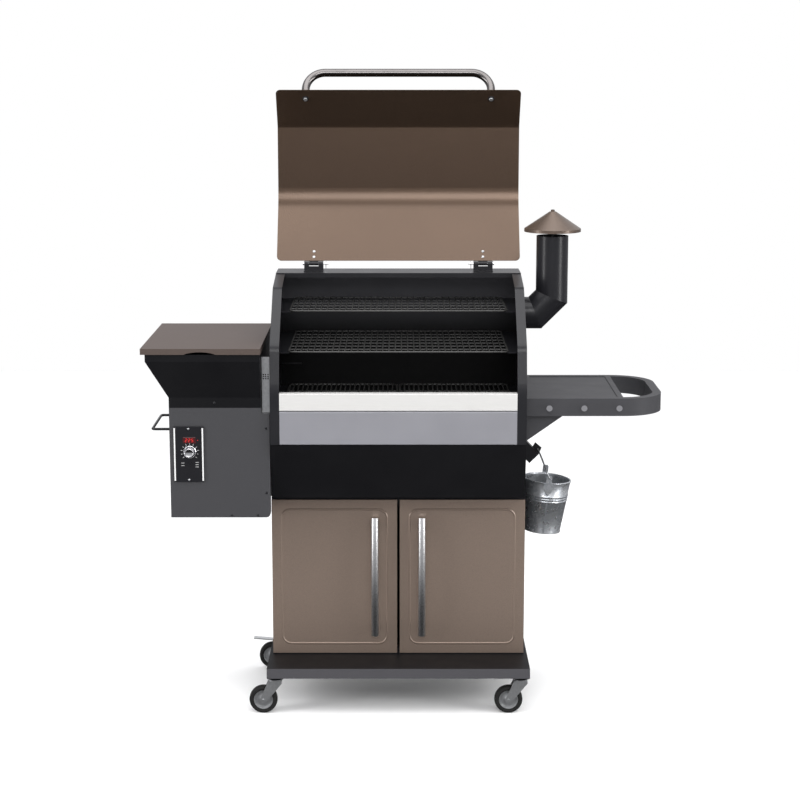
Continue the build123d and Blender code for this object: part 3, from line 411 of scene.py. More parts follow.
dark_chrome = Finish("dark_chrome", Metallic=1.0)
film = dark_chrome.noise(18, 4)
dark_chrome.feed(
    Base_Color=dark_chrome.blend(film, (0.17, 0.16, 0.157, 1), (0.12, 0.113, 0.11, 1)),
    Roughness=0.14 + film * 0.1,
)
print("finishes so far:", len(FINISHES))

# %% [markdown]
# ## Zinc
# Hot-dip zinc freezes into crystals, called spangle, that shine differently from each other. Voronoi cells with a
# random tone each look just like it. The plated casters are plainer: fine-grained and slightly yellowed.

# %% Zinc finishes
spangle = Finish("galvanised_spangle", Metallic=0.9)
crystal = spangle.add("ShaderNodeTexVoronoi", sockets={"Vector": spangle.place, "Scale": 95}, output="Color")
tone = spangle.add("ShaderNodeSeparateColor", sockets={"Color": crystal})
mottle = tone * 0.8 + spangle.noise(240, 2) * 0.2
spangle.feed(
    Base_Color=spangle.blend(mottle, (0.72, 0.74, 0.76, 1), (0.36, 0.38, 0.41, 1)),
    Roughness=0.22 + tone * 0.26,
    Normal=spangle.bump(spangle.noise(160, 2), 0.0004, 0.3),
)

zinc = Finish("plated_zinc", Metallic=0.95)
frost = zinc.noise(120, 3)
zinc.feed(
    Base_Color=zinc.blend(frost, (0.70, 0.71, 0.72, 1), (0.46, 0.47, 0.48, 1)),
    Roughness=0.25 + frost * 0.2,
    Normal=zinc.bump(frost, 0.0002, 0.3),
)

raw_steel = Finish("heat_tinted_steel", Metallic=0.9)
tint = raw_steel.noise(9, 4)
raw_steel.feed(
    Base_Color=raw_steel.blend(tint, (0.32, 0.30, 0.28, 1), (0.12, 0.10, 0.09, 1)),
    Roughness=0.4 + tint * 0.25,
)
print("finishes so far:", len(FINISHES))

# %% [markdown]
# ## Rubber, plastic, wire and glass
# Small areas still need their own feel: grey dust in the tyres' grain, a satin controller, racks of enamelled wire
# with sooty patches, and the dark red window over the display.

# %% Other finishes
rubber = Finish("tyre_rubber", Specular_IOR_Level=0.15)
dust = rubber.noise(70, 4)
rubber.feed(
    Base_Color=rubber.blend(dust, (0.006, 0.006, 0.006, 1), (0.018, 0.0175, 0.017, 1)),
    Roughness=0.6 + dust * 0.25,
    Normal=rubber.bump(rubber.noise(300, 2), 0.0003, 0.3),
)

plastic = Finish("satin_plastic", Specular_IOR_Level=0.15)
grain = plastic.noise(700, 2)
plastic.feed(
    Base_Color=plastic.blend(grain, (0.006, 0.006, 0.008, 1), (0.012, 0.012, 0.014, 1)),
    Roughness=0.36 + grain * 0.12,
    Normal=plastic.bump(grain, 0.0002, 0.3),
)

wire_enamel = Finish("rack_enamel", Coat_Weight=0.2, Coat_Roughness=0.3)
soot = wire_enamel.noise(16, 4)
wire_enamel.feed(
    Base_Color=wire_enamel.blend(soot, (0.014, 0.014, 0.014, 1), (0.035, 0.034, 0.032, 1)),
    Roughness=0.32 + soot * 0.3,
    Normal=wire_enamel.bump(wire_enamel.noise(380, 2), 0.0003, 0.3),
)

window = Finish("display_window", Coat_Weight=0.6)
haze = window.noise(60, 2)
window.feed(
    Base_Color=window.blend(haze, (0.05, 0.002, 0.003, 1), (0.03, 0.001, 0.002, 1)),
    Roughness=0.12 + haze * 0.05,
)
lit_red = Finish("lit_red", Roughness=0.4, Emission_Strength=0.45)
glow = lit_red.noise(900, 1)
lit_red.feed(
    Base_Color=lit_red.blend(glow, (0.5, 0.01, 0.01, 1), (0.35, 0.005, 0.005, 1)),
    Emission_Color=lit_red.blend(glow, (1.0, 0.03, 0.02, 1), (0.8, 0.02, 0.015, 1)),
)

print_white = Finish("print_white", Roughness=0.5)
ink = print_white.noise(500, 2)
print_white.feed(Base_Color=print_white.blend(ink, (0.62, 0.62, 0.62, 1), (0.45, 0.45, 0.45, 1)))
print(len(FINISHES), "finishes")

# %% [markdown]
# ## Dressing the engineering parts
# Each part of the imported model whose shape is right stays, and takes one of the finishes. A table of names is
# easier to read and to change than sixty assignments.

# %% Dress the parts
DRESS = {
    "lid_bronze": ["lid_panel"],
    "door_bronze": ["door_left", "door_right"],
    "hopper_bronze": ["hopper_lid"],
    "bronze_enamel": ["chimney_cap"],
    "grey_enamel": ["front_panel"],
    "deep_black": ["lower_panel", "hopper_bin", "drip_tray", "temperature_probe"],
    "base_enamel": ["base_shelf"],
    "smoked_enamel": ["barrel_shell"],
    "shelf_satin": [name for name in nodes if name.startswith("shelf_")],
    "powder_coat": ["front_cover", "hopper_box", "cabinet_back"],
    "brushed_strip": ["front_trim"],
    "brushed_tube": ["door_handle_left", "door_handle_right"],
    "dark_chrome": ["lid_handle"],
    "polished_chrome": ["tool_pegs", "lid_hinge_pins", "lid_fasteners"],
    "galvanised_spangle": ["bucket"],
    "plated_zinc": ["bucket_bail", "fan_housing", "fan_impeller", "auger_motor", "heat_guard"],
    "heat_tinted_steel": ["firepot", "auger", "heat_baffle"],
    "satin_plastic": ["controller_plate", "control_knob", "power_button", "power_inlet"],
    "rack_enamel": ["warming_racks", "main_grates", "hopper_guard", "drip_tray"],
    "display_window": ["display_window"],
}
finish_of = {part: name for name, parts in DRESS.items() for part in parts}
for name, part in nodes.items():
    if name.startswith("wheel_"):
        finish_of[name] = "tyre_rubber"
    if name.startswith(("caster_fork", "brake_lever")):
        finish_of[name] = "plated_zinc"
    chosen = FINISHES[finish_of.get(name, "black_enamel")].material
    for slot in part.material_slots:
        slot.material = chosen
print(len(nodes), "parts dressed")

# %% [markdown]
# ## Keeping a mesh as a piece
# Every piece made below ends the same way: its object sits at the origin, it rides on one of the frame's bodies, and
# it may stand for some of the engineering parts. One helper says this once.


def keep(name, mesh, finish, body, *parts):
    """An object at the origin with that mesh, riding on a body and standing for these parts."""
    piece = bpy.data.objects.new(name, mesh)
    scene.collection.objects.link(piece)
    if not mesh.materials:
        mesh.materials.append(FINISHES[finish].material)
    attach(piece, body)
    if parts:
        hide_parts(*parts)
    print(name, len(mesh.polygons), "faces")
    return piece


def corners(part):
    """A part's lowest and highest corners as vectors."""
    low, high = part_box(part)
    return Vector(low), Vector(high)


# %% [markdown]
# ## Geometry Nodes recipes
# A rack is one wire many times over, and a row of screws is one screw at many places. Copying meshes in Python
# would work, but a Geometry Nodes tree with named sizes says the rule itself, and the same tree serves every rack.
# `Recipe` is a board with named inputs. `grow` runs it once and keeps the result as a plain mesh.

# %% Recipe and grow
class Recipe(Board):
    """A Geometry Nodes tree with named inputs."""

    def __init__(self, name, **sizes):
        super().__init__(bpy.data.node_groups.new(name, "GeometryNodeTree"))
        face = self.tree.interface
        face.new_socket("Start", in_out="INPUT", socket_type="NodeSocketGeometry")
        kinds = {int: "NodeSocketInt", float: "NodeSocketFloat", tuple: "NodeSocketVector"}
        for label, value in sizes.items():
            face.new_socket(label, in_out="INPUT", socket_type=kinds[type(value)]).default_value = value
        face.new_socket("Finish", in_out="INPUT", socket_type="NodeSocketMaterial")
        face.new_socket("Result", in_out="OUTPUT", socket_type="NodeSocketGeometry")
        self.inlet = self.tree.nodes.new("NodeGroupInput")
        self.outlet = self.tree.nodes.new("NodeGroupOutput")

    def size(self, label):
        return Wire(self, self.inlet.outputs[label])

    def vector(self, x=0.0, y=0.0, z=0.0):
        return self.add("ShaderNodeCombineXYZ", sockets={"X": x, "Y": y, "Z": z})

    def bar(self, end, radius, sides=8):
        """A round wire from the origin to `end`."""
        line = self.add("GeometryNodeCurvePrimitiveLine", sockets={"End": end})
        ring = self.add("GeometryNodeCurvePrimitiveCircle", sockets={"Resolution": sides, "Radius": radius})
        return self.add(
            "GeometryNodeCurveToMesh", sockets={"Curve": line, "Profile Curve": ring, "Fill Caps": True}
        )

    def row(self, count, start, step):
        """Points in a row, as a mesh line."""
        return self.add(
            "GeometryNodeMeshLine", sockets={"Count": count, "Start Location": start, "Offset": step}
        )

    def copies(self, points, shape, **extra):
        return self.add("GeometryNodeInstanceOnPoints", sockets={"Points": points, "Instance": shape, **extra})

    def serve(self, *shapes):
        """Joins the shapes, makes the copies real, and paints them."""
        joined = self.tree.nodes.new("GeometryNodeJoinGeometry")
        for shape in shapes:
            self.tree.links.new(shape.socket, joined.inputs[0])
        real = self.add("GeometryNodeRealizeInstances", sockets={0: Wire(self, joined.outputs[0])})
        smooth = self.add("GeometryNodeSetShadeSmooth", sockets={0: real})
        painted = self.add("GeometryNodeSetMaterial", sockets={0: smooth, "Material": self.size("Finish")})
        self.tree.links.new(painted.socket, self.outlet.inputs[0])


def grow(recipe, name, finish, start=None, **sizes):
    """Runs a recipe on a start mesh, or on nothing, and gives back a plain mesh."""
    holder = bpy.data.objects.new(name, start or bpy.data.meshes.new(name))
    scene.collection.objects.link(holder)
    modifier = holder.modifiers.new("recipe", "NODES")
    modifier.node_group = recipe.tree
    sizes["Finish"] = FINISHES[finish].material
    for item in recipe.tree.interface.items_tree:
        if item.item_type == "SOCKET" and item.in_out == "INPUT" and item.name in sizes:
            modifier[item.identifier] = sizes[item.name]
    graph = bpy.context.evaluated_depsgraph_get()
    mesh = bpy.data.meshes.new_from_object(holder.evaluated_get(graph), depsgraph=graph)
    bpy.data.objects.remove(holder)
    return mesh


# %% [markdown]
# ## Wire racks
# A rack is welded wire: long wires from front to back about a finger apart, a few cross wires under them that keep
# them together, and a thicker rim. The real racks are round wire, so flat bars would catch the light wrongly.
# The recipe draws one long wire and one cross wire, and sets them on two rows of points.

# %% Rack recipe
RIM_CORNER = 0.012
rack = Recipe(
    "wire_rack", Low=(0.0, 0.0, 0.0), High=(1.0, 1.0, 0.0), Wires=34, Bars=5, Thick=0.0017, Rim=0.0028
)


def axes(label):
    """The three numbers of one of the rack's vector sizes."""
    split = rack.add("ShaderNodeSeparateXYZ", sockets={"Vector": rack.size(label)})
    return [Wire(rack, split.socket.node.outputs[axis]) for axis in "XYZ"]


left_x, front_y, top_z = axes("Low")
right_x, back_y = axes("High")[:2]
width, depth = right_x - left_x, back_y - front_y
thick, rim = rack.size("Thick"), rack.size("Rim")
gap = width / (rack.size("Wires") + 1)
stride = depth / (rack.size("Bars") + 1)
first_long = rack.vector(left_x + gap, front_y, top_z + thick)
first_cross = rack.vector(left_x, front_y + stride, top_z - thick)
long_row = rack.row(rack.size("Wires"), first_long, rack.vector(x=gap))
cross_row = rack.row(rack.size("Bars"), first_cross, rack.vector(y=stride))
long_wires = rack.copies(long_row, rack.bar(rack.vector(y=depth), thick))
cross_wires = rack.copies(cross_row, rack.bar(rack.vector(x=width), thick))
rim_line = rack.add(
    "GeometryNodeCurvePrimitiveQuadrilateral", {"mode": "RECTANGLE"}, {"Width": width, "Height": depth}
)
rounded = {"Curve": rim_line, "Radius": RIM_CORNER, "Limit Radius": True}
rim_line = rack.add("GeometryNodeFilletCurve", sockets=rounded)
rack_middle = rack.vector(left_x + width * 0.5, front_y + depth * 0.5, top_z)
rim_line = rack.add("GeometryNodeTransform", sockets={"Geometry": rim_line, "Translation": rack_middle})
rim_ring = rack.add("GeometryNodeCurvePrimitiveCircle", sockets={"Resolution": 8, "Radius": rim})
rim_wire = rack.add("GeometryNodeCurveToMesh", sockets={"Curve": rim_line, "Profile Curve": rim_ring})
rack.serve(long_wires, cross_wires, rim_wire)
print("rack recipe:", len(rack.tree.nodes), "nodes")

# %% [markdown]
# ## Racks, grates and guard
# The same recipe serves four places with other sizes. The two warming racks have close wires, the two main grates
# have thicker ones further apart, and the guard over the pellets is a fine square mesh. Each takes its place from
# the engineering part that it stands for.

# %% Grow the racks
low, high = corners("warming_racks")
UPPER_DEPTH, RACK_THICK = 0.317, 0.004
upper_rack = grow(
    rack, "upper_rack", "rack_enamel",
    Low=(low.x + 0.003, high.y - UPPER_DEPTH + 0.003, high.z - RACK_THICK / 2),
    High=(high.x - 0.003, high.y - 0.003, 0), Wires=34, Bars=4,
)
middle_rack = grow(
    rack, "middle_rack", "rack_enamel",
    Low=(low.x + 0.004, low.y + 0.003, low.z + RACK_THICK / 2),
    High=(high.x - 0.004, high.y - 0.003, 0), Wires=34, Bars=6,
)
keep("upper_rack", upper_rack, "rack_enamel", "grill", "warming_racks")
keep("middle_rack", middle_rack, "rack_enamel", "grill")

low, high = corners("main_grates")
middle_x = (low.x + high.x) / 2
for name, side in (("left_grate", -1), ("right_grate", 1)):
    near, far = sorted((middle_x + side * 0.004, middle_x + side * 0.347))
    grate = grow(
        rack, name, "rack_enamel",
        Low=(near, low.y + 0.003, (low.z + high.z) / 2), High=(far, high.y - 0.003, 0),
        Wires=22, Bars=3, Thick=0.0026, Rim=0.0036,
    )
    keep(name, grate, "rack_enamel", "grill", *(["main_grates"] if side < 0 else []))

low, high = corners("hopper_guard")
guard = grow(
    rack, "hopper_guard_wires", "rack_enamel",
    Low=(low.x + 0.002, low.y + 0.002, (low.z + high.z) / 2), High=(high.x - 0.002, high.y - 0.002, 0),
    Wires=16, Bars=12, Thick=0.001, Rim=0.0018,
)
keep("hopper_guard_wires", guard, "rack_enamel", "grill", "hopper_guard")

# %% [markdown]
# ## Turned shapes
# Wheels, the bucket and the knob are turned shapes: an outline in the side view swept once round an axis. Blender's
# Screw modifier could turn a drawn line, but one short function that writes the rings of points is easier to aim
# at any axis, and it closes the middle by itself when the outline ends on the axis.

# %% Turn an outline
def turned(name, outline, centre, axis, steps=48):
    """A mesh from (radius, height) points turned round an axis through `centre`."""
    axis = Vector(axis).normalized()
    side = axis.orthogonal().normalized()
    other = axis.cross(side)
    bm = bmesh.new()
    rings = []
    for radius, height in outline:
        spot = Vector(centre) + axis * height
        if radius == 0:
            rings.append([bm.verts.new(spot)] * steps)
            continue
        angles = [2 * pi * step / steps for step in range(steps)]
        rings.append([bm.verts.new(spot + (side * cos(a) + other * sin(a)) * radius) for a in angles])
    for first, second in zip(rings, rings[1:]):
        for step in range(steps):
            after = (step + 1) % steps
            face = dict.fromkeys([first[step], first[after], second[after], second[step]])
            if len(face) > 2:
                bm.faces.new(face)
    bmesh.ops.recalc_face_normals(bm, faces=bm.faces)
    mesh = bpy.data.meshes.new(name)
    bm.to_mesh(mesh)
    bm.free()
    mesh.shade_smooth()
    return mesh


def with_sharp_edges(mesh, degrees=35):
    """Marks edges sharper than this angle, so that smooth shading stops there."""
    mesh.set_sharp_from_angle(angle=radians(degrees))
    return mesh
print("turned shapes are ready")

# %% [markdown]
# ## Wheels
# A caster wheel is a hard rubber tyre on a pressed zinc hub. The tyre has rounded shoulders and a shallow recess on
# each face, and the hub is dished round its axle nut. Two turned meshes per wheel let each keep its own finish.

# %% Wheels
TYRE_HALF = 0.013
for wheel in [part for part in nodes if part.startswith("wheel_")]:
    low, high = corners(wheel)
    centre = (low + high) / 2
    outer = (high.z - low.z) / 2
    tyre_line = [
        (0.0285, -0.0105), (0.031, -0.0112), (outer - 0.006, -TYRE_HALF), (outer - 0.0025, -TYRE_HALF + 0.0015),
        (outer - 0.0006, -0.0085), (outer, -0.004), (outer, 0.004), (outer - 0.0006, 0.0085),
        (outer - 0.0025, TYRE_HALF - 0.0015), (outer - 0.006, TYRE_HALF), (0.031, 0.0112), (0.0285, 0.0105),
        (0.0285, -0.0105),
    ]
    hub_line = [
        (0.0045, -0.0135), (0.009, -0.0135), (0.0095, -0.0125), (0.0105, -0.007), (0.013, -0.006),
        (0.023, -0.007), (0.026, -0.0108), (0.029, -0.0112),
    ]
    hub_line += [(radius, -height) for radius, height in reversed(hub_line)]
    hub_line.append(hub_line[0])
    body = wheel.replace("wheel_", "roller_")
    tyre = turned(wheel + "_tyre", tyre_line, centre, (0, 1, 0), 64)
    keep(wheel + "_tyre", with_sharp_edges(tyre), "tyre_rubber", body, wheel)
    hub = turned(wheel + "_hub", hub_line, centre, (0, 1, 0))
    keep(wheel + "_hub", with_sharp_edges(hub), "plated_zinc", body)

# %% [markdown]
# ## The bucket
# The grease bucket is thin galvanised sheet with a rolled rim, three beads rolled in a third of the way down, a
# folded foot and a lapped seam up its front. It leans a little on the cabinet, about the line through its ears.
# An outline turned about the leaning axis gives the whole shell, inside and outside, in one piece.

# %% Bucket shell
JOINTS = {joint["name"]: joint for joint in frame["joints"]}
ears = Vector(JOINTS["bucket_swing"]["pos_m"])
LEAN = radians(5)
up = Vector((sin(LEAN), 0, cos(LEAN)))
across = Vector((cos(LEAN), 0, -sin(LEAN)))
FOOT_DROP, RIM_DROP, FOOT_R, RIM_R, TIN = 0.184, 0.018, 0.057, 0.0745, 0.0012


def wall_radius(drop):
    """Outer radius of the wall at that distance below the ears."""
    return FOOT_R + (RIM_R - FOOT_R) * (FOOT_DROP - drop) / (FOOT_DROP - RIM_DROP)


outside = [(0, -FOOT_DROP + 0.003), (FOOT_R - 0.004, -FOOT_DROP + 0.003), (FOOT_R - 0.002, -FOOT_DROP)]
outside += [(FOOT_R + 0.001, -FOOT_DROP), (FOOT_R + 0.0012, -FOOT_DROP + 0.004), (wall_radius(0.178), -0.178)]
BEAD_DROPS = (0.080, 0.072, 0.064)
BULGE = ((-0.003, 0), (-0.0015, 0.0013), (0, 0.0018), (0.0015, 0.0013), (0.003, 0))
for bead in BEAD_DROPS:
    outside += [(wall_radius(bead) + bulge, -bead + climb) for climb, bulge in BULGE]
ROLL_R = 0.0026
roll = Vector((RIM_R - 0.0006, -RIM_DROP - 0.0005))
for way in [radians(-80 + 30 * k) for k in range(9)]:
    outside.append((roll.x + ROLL_R * cos(way), roll.y + ROLL_R * sin(way)))
inside = [(wall_radius(0.024) - TIN, -0.024), (FOOT_R - TIN, -FOOT_DROP + 0.006), (0, -FOOT_DROP + 0.0045)]
shell = turned("bucket_shell", outside + inside, ears, up, 72)
keep("bucket_shell", with_sharp_edges(shell, 50), "galvanised_spangle", "pail", "bucket")


# %% [markdown]
# The ears are cut from thicker sheet: a tongue that holds the wire above the rim, over a pointed plate that is
# riveted to the wall. An outline filled and given its thickness makes both, and the seam is a narrow strip.

# %% Ears and seam
def slab(name, outline, origin, across_way, up_way, out_way, thickness):
    """A flat plate: (across, up) points round its edge, given a thickness along `out_way`."""
    bm = bmesh.new()
    front = [bm.verts.new(origin + across_way * x + up_way * z) for x, z in outline]
    face = bm.faces.new(front)
    made = bmesh.ops.extrude_face_region(bm, geom=[face])
    moved = [item for item in made["geom"] if isinstance(item, bmesh.types.BMVert)]
    bmesh.ops.translate(bm, verts=moved, vec=out_way * thickness)
    bmesh.ops.recalc_face_normals(bm, faces=bm.faces)
    mesh = bpy.data.meshes.new(name)
    bm.to_mesh(mesh)
    bm.free()
    return mesh


TONGUE = [(-0.009, 0.004), (-0.006, 0.0085), (0.006, 0.0085), (0.009, 0.004), (0.009, -0.016)]
POINT = [(0.0165, -0.026), (0.0165, -0.033), (0.009, -0.046), (0, -0.056)]
ear_line = TONGUE + POINT + [(-x, z) for x, z in reversed(POINT[:-1])] + [(-0.009, -0.016)]
for name, side in (("front_ear", -1), ("rear_ear", 1)):
    out = Vector((0, side, 0))
    place = ears + out * 0.0772
    keep(name, slab(name, ear_line, place, across, up, out, 0.0016), "galvanised_spangle", "pail")
slope = (RIM_R - FOOT_R) / (FOOT_DROP - RIM_DROP)
seam_way = (up + Vector((0, -slope, 0))).normalized()
seam_foot = ears - up * 0.18 + Vector((0, -wall_radius(0.18) - 0.0002, 0))
seam_line = [(-0.0025, 0), (0.0025, 0), (0.0025, 0.094), (-0.0025, 0.094)]
seam = slab("seam", seam_line, seam_foot, across, seam_way, Vector((0, -1, 0)), 0.0009)
keep("bucket_seam", seam, "galvanised_spangle", "pail")

# %% [markdown]
# ## The pressed line on the doors
# A line is pressed into each door a little inside its edge, which stiffens the sheet and catches the light on one
# side. It is a low bead that follows a rectangle with round corners: a flat-topped section swept round that path.

# %% Door beads
def round_corners(low, high, radius, steps):
    """Corner centre x and z and angle, for every point round a rounded rectangle."""
    left, right = low.x + radius, high.x - radius
    bottom, top = low.z + radius, high.z - radius
    for quarter, (x, z) in enumerate(((right, top), (left, top), (left, bottom), (right, bottom))):
        for step in range(steps + 1):
            yield x, z, radians(90 * quarter + 90 / steps * step)


def swept_rectangle(name, low, high, radius, section):
    """A section of (outward, forward) points swept round a rounded rectangle that faces the front."""
    bm = bmesh.new()
    rings = []
    for x, z, angle in round_corners(low, high, radius, 8):
        ring = []
        for outward, forward in section:
            away = radius + outward
            ring.append(bm.verts.new((x + away * cos(angle), low.y - forward, z + away * sin(angle))))
        rings.append(ring)
    for first, second in zip(rings, rings[1:] + rings[:1]):
        for k in range(len(section) - 1):
            bm.faces.new((first[k], first[k + 1], second[k + 1], second[k]))
    bmesh.ops.recalc_face_normals(bm, faces=bm.faces)
    mesh = bpy.data.meshes.new(name)
    bm.to_mesh(mesh)
    bm.free()
    mesh.shade_smooth()
    return mesh


BEAD_INSET, BEAD_CORNER = 0.031, 0.026
BEAD = [(-0.0034, -0.0008), (-0.0034, 0), (-0.0012, 0.0016), (0.0012, 0.0016), (0.0034, 0), (0.0034, -0.0008)]
BEAD.append(BEAD[0])
for side in ("left", "right"):
    door_low, door_high = corners("door_" + side)
    inset = Vector((BEAD_INSET, 0, BEAD_INSET))
    line = swept_rectangle("door_line_" + side, door_low + inset, door_high - inset, BEAD_CORNER, BEAD)
    keep("door_line_" + side, with_sharp_edges(line, 25), "door_bronze", side + "_door")

# %% [markdown]
# ## Screws
# The casing is held by small pan-head screws with a cross recess, and the lid by flatter ones. One recipe makes the
# head once: a squashed ball, cut flat underneath and cut by two thin blocks for the cross. It then sets a copy on
# every point of a start mesh, turned to face the way that is asked for. Modelling each head would say less.

# %% Screw recipe
screws = Recipe("screw_heads", Head=0.004, Rise=0.0022, Facing=(0.0, -1.0, 0.0))
head, dome_rise = screws.size("Head"), screws.size("Rise")
ball = screws.add("GeometryNodeMeshUVSphere", sockets={"Segments": 20, "Rings": 12, "Radius": 1.0})
dome = screws.add("GeometryNodeTransform", sockets={"Geometry": ball, "Scale": screws.vector(head, head, dome_rise)})
slot_long = screws.add("GeometryNodeMeshCube", sockets={"Size": screws.vector(head * 1.1, head * 0.24, dome_rise)})
slot_wide = screws.add("GeometryNodeMeshCube", sockets={"Size": screws.vector(head * 0.24, head * 1.1, dome_rise)})
below = screws.add("GeometryNodeMeshCube", sockets={"Size": screws.vector(head * 3, head * 3, dome_rise * 2)})
lifted = [
    screws.add("GeometryNodeTransform", sockets={"Geometry": cutter, "Translation": screws.vector(z=shift)})
    for cutter, shift in ((slot_long, dome_rise * 1.05), (slot_wide, dome_rise * 1.05), (below, dome_rise * -1.0))
]
carved = dome
for cutter in lifted:
    carved = screws.add(
        "GeometryNodeMeshBoolean", {"operation": "DIFFERENCE"}, {"Mesh 1": carved, "Mesh 2": cutter}
    )
turn = screws.add(
    "FunctionNodeAlignEulerToVector", {"axis": "Z"}, {"Vector": screws.size("Facing")}
)
heads = screws.copies(screws.size("Start"), carved, Rotation=turn)
screws.serve(heads)


def points(name, places):
    """A mesh that is only points, for a recipe to start from."""
    mesh = bpy.data.meshes.new(name)
    mesh.from_pydata([tuple(place) for place in places], [], [])
    return mesh


def screwed(name, places, facing, finish, body, *parts, head=0.004, rise=0.0022):
    """Screw heads at those places, turned to face one way, kept as a piece."""
    start = points(name + "_places", places)
    mesh = grow(screws, name, finish, start, Head=head, Rise=rise, Facing=tuple(facing))
    return keep(name, with_sharp_edges(mesh), finish, body, *parts)


# %% [markdown]
# The casing's screws go where the engineering model has its own, on the hopper's front cover, and two more hold the
# controller's plate.

# %% Set the screws
low, high = corners("casing_screws")
plate_low, plate_high = corners("controller_plate")
cover_low = corners("front_cover")[0]
right, face_y = high.x - 0.004, cover_low.y
cover_spots = [
    (right, face_y, high.z - 0.081), (right, face_y, low.z + 0.073), (right - 0.105, face_y, low.z + 0.004),
    (right - 0.027, face_y, low.z + 0.004), (right - 0.152, face_y, high.z - 0.004),
]
screwed("cover_screws", cover_spots, (0, -1, 0), "black_enamel", "grill", "casing_screws")
plate_face = plate_low.y + 0.0015
middle = (plate_low.x + plate_high.x) / 2
plate_spots = [(middle, plate_face, z) for z in (plate_low.z + 0.0065, plate_high.z - 0.0065)]
screwed("plate_screws", plate_spots, (0, -1, 0), "plated_zinc", "grill", head=0.0032, rise=0.0016)

# %% [markdown]
# ## Screws through the open lid
# At rest the lid stands open, so its screws are placed along its slanted sheets: two per hinge on the flat next to
# the hinge, and a washer and hexagon bolt at each end of the handle, on the flat along the lid's free edge. Two unit
# vectors, one along a flat and one out of it towards the front, place them.

# %% Lid screws
hinge_y, hinge_z = JOINTS["lid_hinge"]["pos_m"][1:]
along = Vector((0, 117.9, 190.9)).normalized()
inward = Vector((0, -along.z, along.y))
HINGE_X, LEAF_SPOTS, SHEET = 0.265, (0.022, 0.041), 0.0015
barrel_x = (corners("top_rail")[0].x + corners("top_rail")[1].x) / 2
hinge = Vector((barrel_x, hinge_y, hinge_z))
leaf_spots = [
    hinge + Vector((side * HINGE_X, 0, 0)) + along * reach + inward * SHEET
    for side in (-1, 1)
    for reach in LEAF_SPOTS
]
screwed("leaf_screws", leaf_spots, inward, "plated_zinc", "lid", "lid_fasteners", head=0.0046, rise=0.002)

visor = Vector((0, -80, 114)).normalized()
visor_in = Vector((0, -visor.z, visor.y))
edge = hinge + Vector((0, 0.039, 0.536))
HANDLE_X, BOLT_REACH = 0.289, 0.033
for side, name in ((-1, "left"), (1, "right")):
    spot = edge + Vector((side * HANDLE_X, 0, 0)) - visor * BOLT_REACH + visor_in * SHEET
    washer_line = [(0, 0), (0.0098, 0), (0.0098, 0.0011), (0.0092, 0.0016), (0, 0.0016)]
    washer = turned("handle_washer_" + name, washer_line, spot, visor_in, 32)
    keep("handle_washer_" + name, with_sharp_edges(washer), "black_enamel", "lid")
    bolt_line = [(0, 0.0016), (0.0062, 0.0016), (0.0064, 0.002)]
    bolt_line += [(0.0064, 0.0052), (0.0056, 0.0061), (0, 0.0064)]
    bolt = turned("handle_bolt_" + name, bolt_line, spot, visor_in, 6)
    keep("handle_bolt_" + name, with_sharp_edges(bolt, 20), "plated_zinc", "lid")

# %% [markdown]
# ## The controller
# The controller is a satin black plate between two bright strips. From top to bottom it has a red number display, a
# dial with marks round it, a push button and a few printed dashes. The printed marks are thin raised bars: a
# picture would blur close up, and no word is needed to read it as a dial. One helper collects many bars in a mesh.

# %% Bars
def bars(name, shapes, thickness):
    """Thin boxes that face the front: (x, z, y of the back, width, height, turn in degrees)."""
    bm = bmesh.new()
    for x, z, y, width, tall, degrees in shapes:
        box = bmesh.ops.create_cube(bm, size=1)
        place = Matrix.Translation((x, y - thickness / 2, z)) @ Matrix.Rotation(radians(degrees), 4, "Y")
        stretch = Matrix.Diagonal((width, thickness, tall, 1))
        bmesh.ops.transform(bm, matrix=place @ stretch, verts=box["verts"])
    mesh = bpy.data.meshes.new(name)
    bm.to_mesh(mesh)
    bm.free()
    return mesh


def rounded_plate(name, low, high, radius, depth_bevel):
    """A box with rounded corners in the front view and a small bevel round its front edge."""
    bm = bmesh.new()
    outline = list(round_corners(low, high, radius, 6))
    rings = []
    for y, inset in ((high.y, 0), (low.y + depth_bevel, 0), (low.y, depth_bevel)):
        away = radius - inset
        rings.append([bm.verts.new((x + away * cos(a), y, z + away * sin(a))) for x, z, a in outline])
    for first, second in zip(rings, rings[1:]):
        for k in range(len(outline)):
            after = (k + 1) % len(outline)
            bm.faces.new((first[k], first[after], second[after], second[k]))
    bm.faces.new(rings[0])
    bm.faces.new(rings[-1])
    bmesh.ops.recalc_face_normals(bm, faces=bm.faces)
    mesh = bpy.data.meshes.new(name)
    bm.to_mesh(mesh)
    bm.free()
    return mesh


# %% [markdown]
# The plate is a rounded rectangle with a small bevel round its front, because a sharp edge never catches the light.
# The two side strips are thin bars, and the window of the display is a smaller plate of the same kind.

# %% Controller plate
face_corner = Vector((plate_low.x, plate_face, plate_low.z))
face_plate = rounded_plate("controller_face", face_corner, plate_high, 0.002, 0.0006)
keep("controller_face", face_plate, "satin_plastic", "grill", "controller_plate")
tall = plate_high.z - plate_low.z
STRIP_WIDE, STRIP_INSET = 0.0042, 0.0033
strips = [
    (x, plate_low.z + tall / 2, plate_face, STRIP_WIDE, tall - 0.008, 0)
    for x in (plate_low.x + STRIP_INSET, plate_high.x - STRIP_INSET)
]
keep("controller_strips", bars("controller_strips", strips, 0.0014), "print_white", "grill")

glass_low, glass_high = corners("display_window")
glass_low.y = plate_face - 0.0008
glass = rounded_plate("display_glass", glass_low, glass_high, 0.0015, 0.0004)
keep("display_glass", glass, "display_window", "grill", "display_window")

# %% [markdown]
# The display shows three seven-segment digits. Each digit is a choice of seven bars, slanted as such displays are.

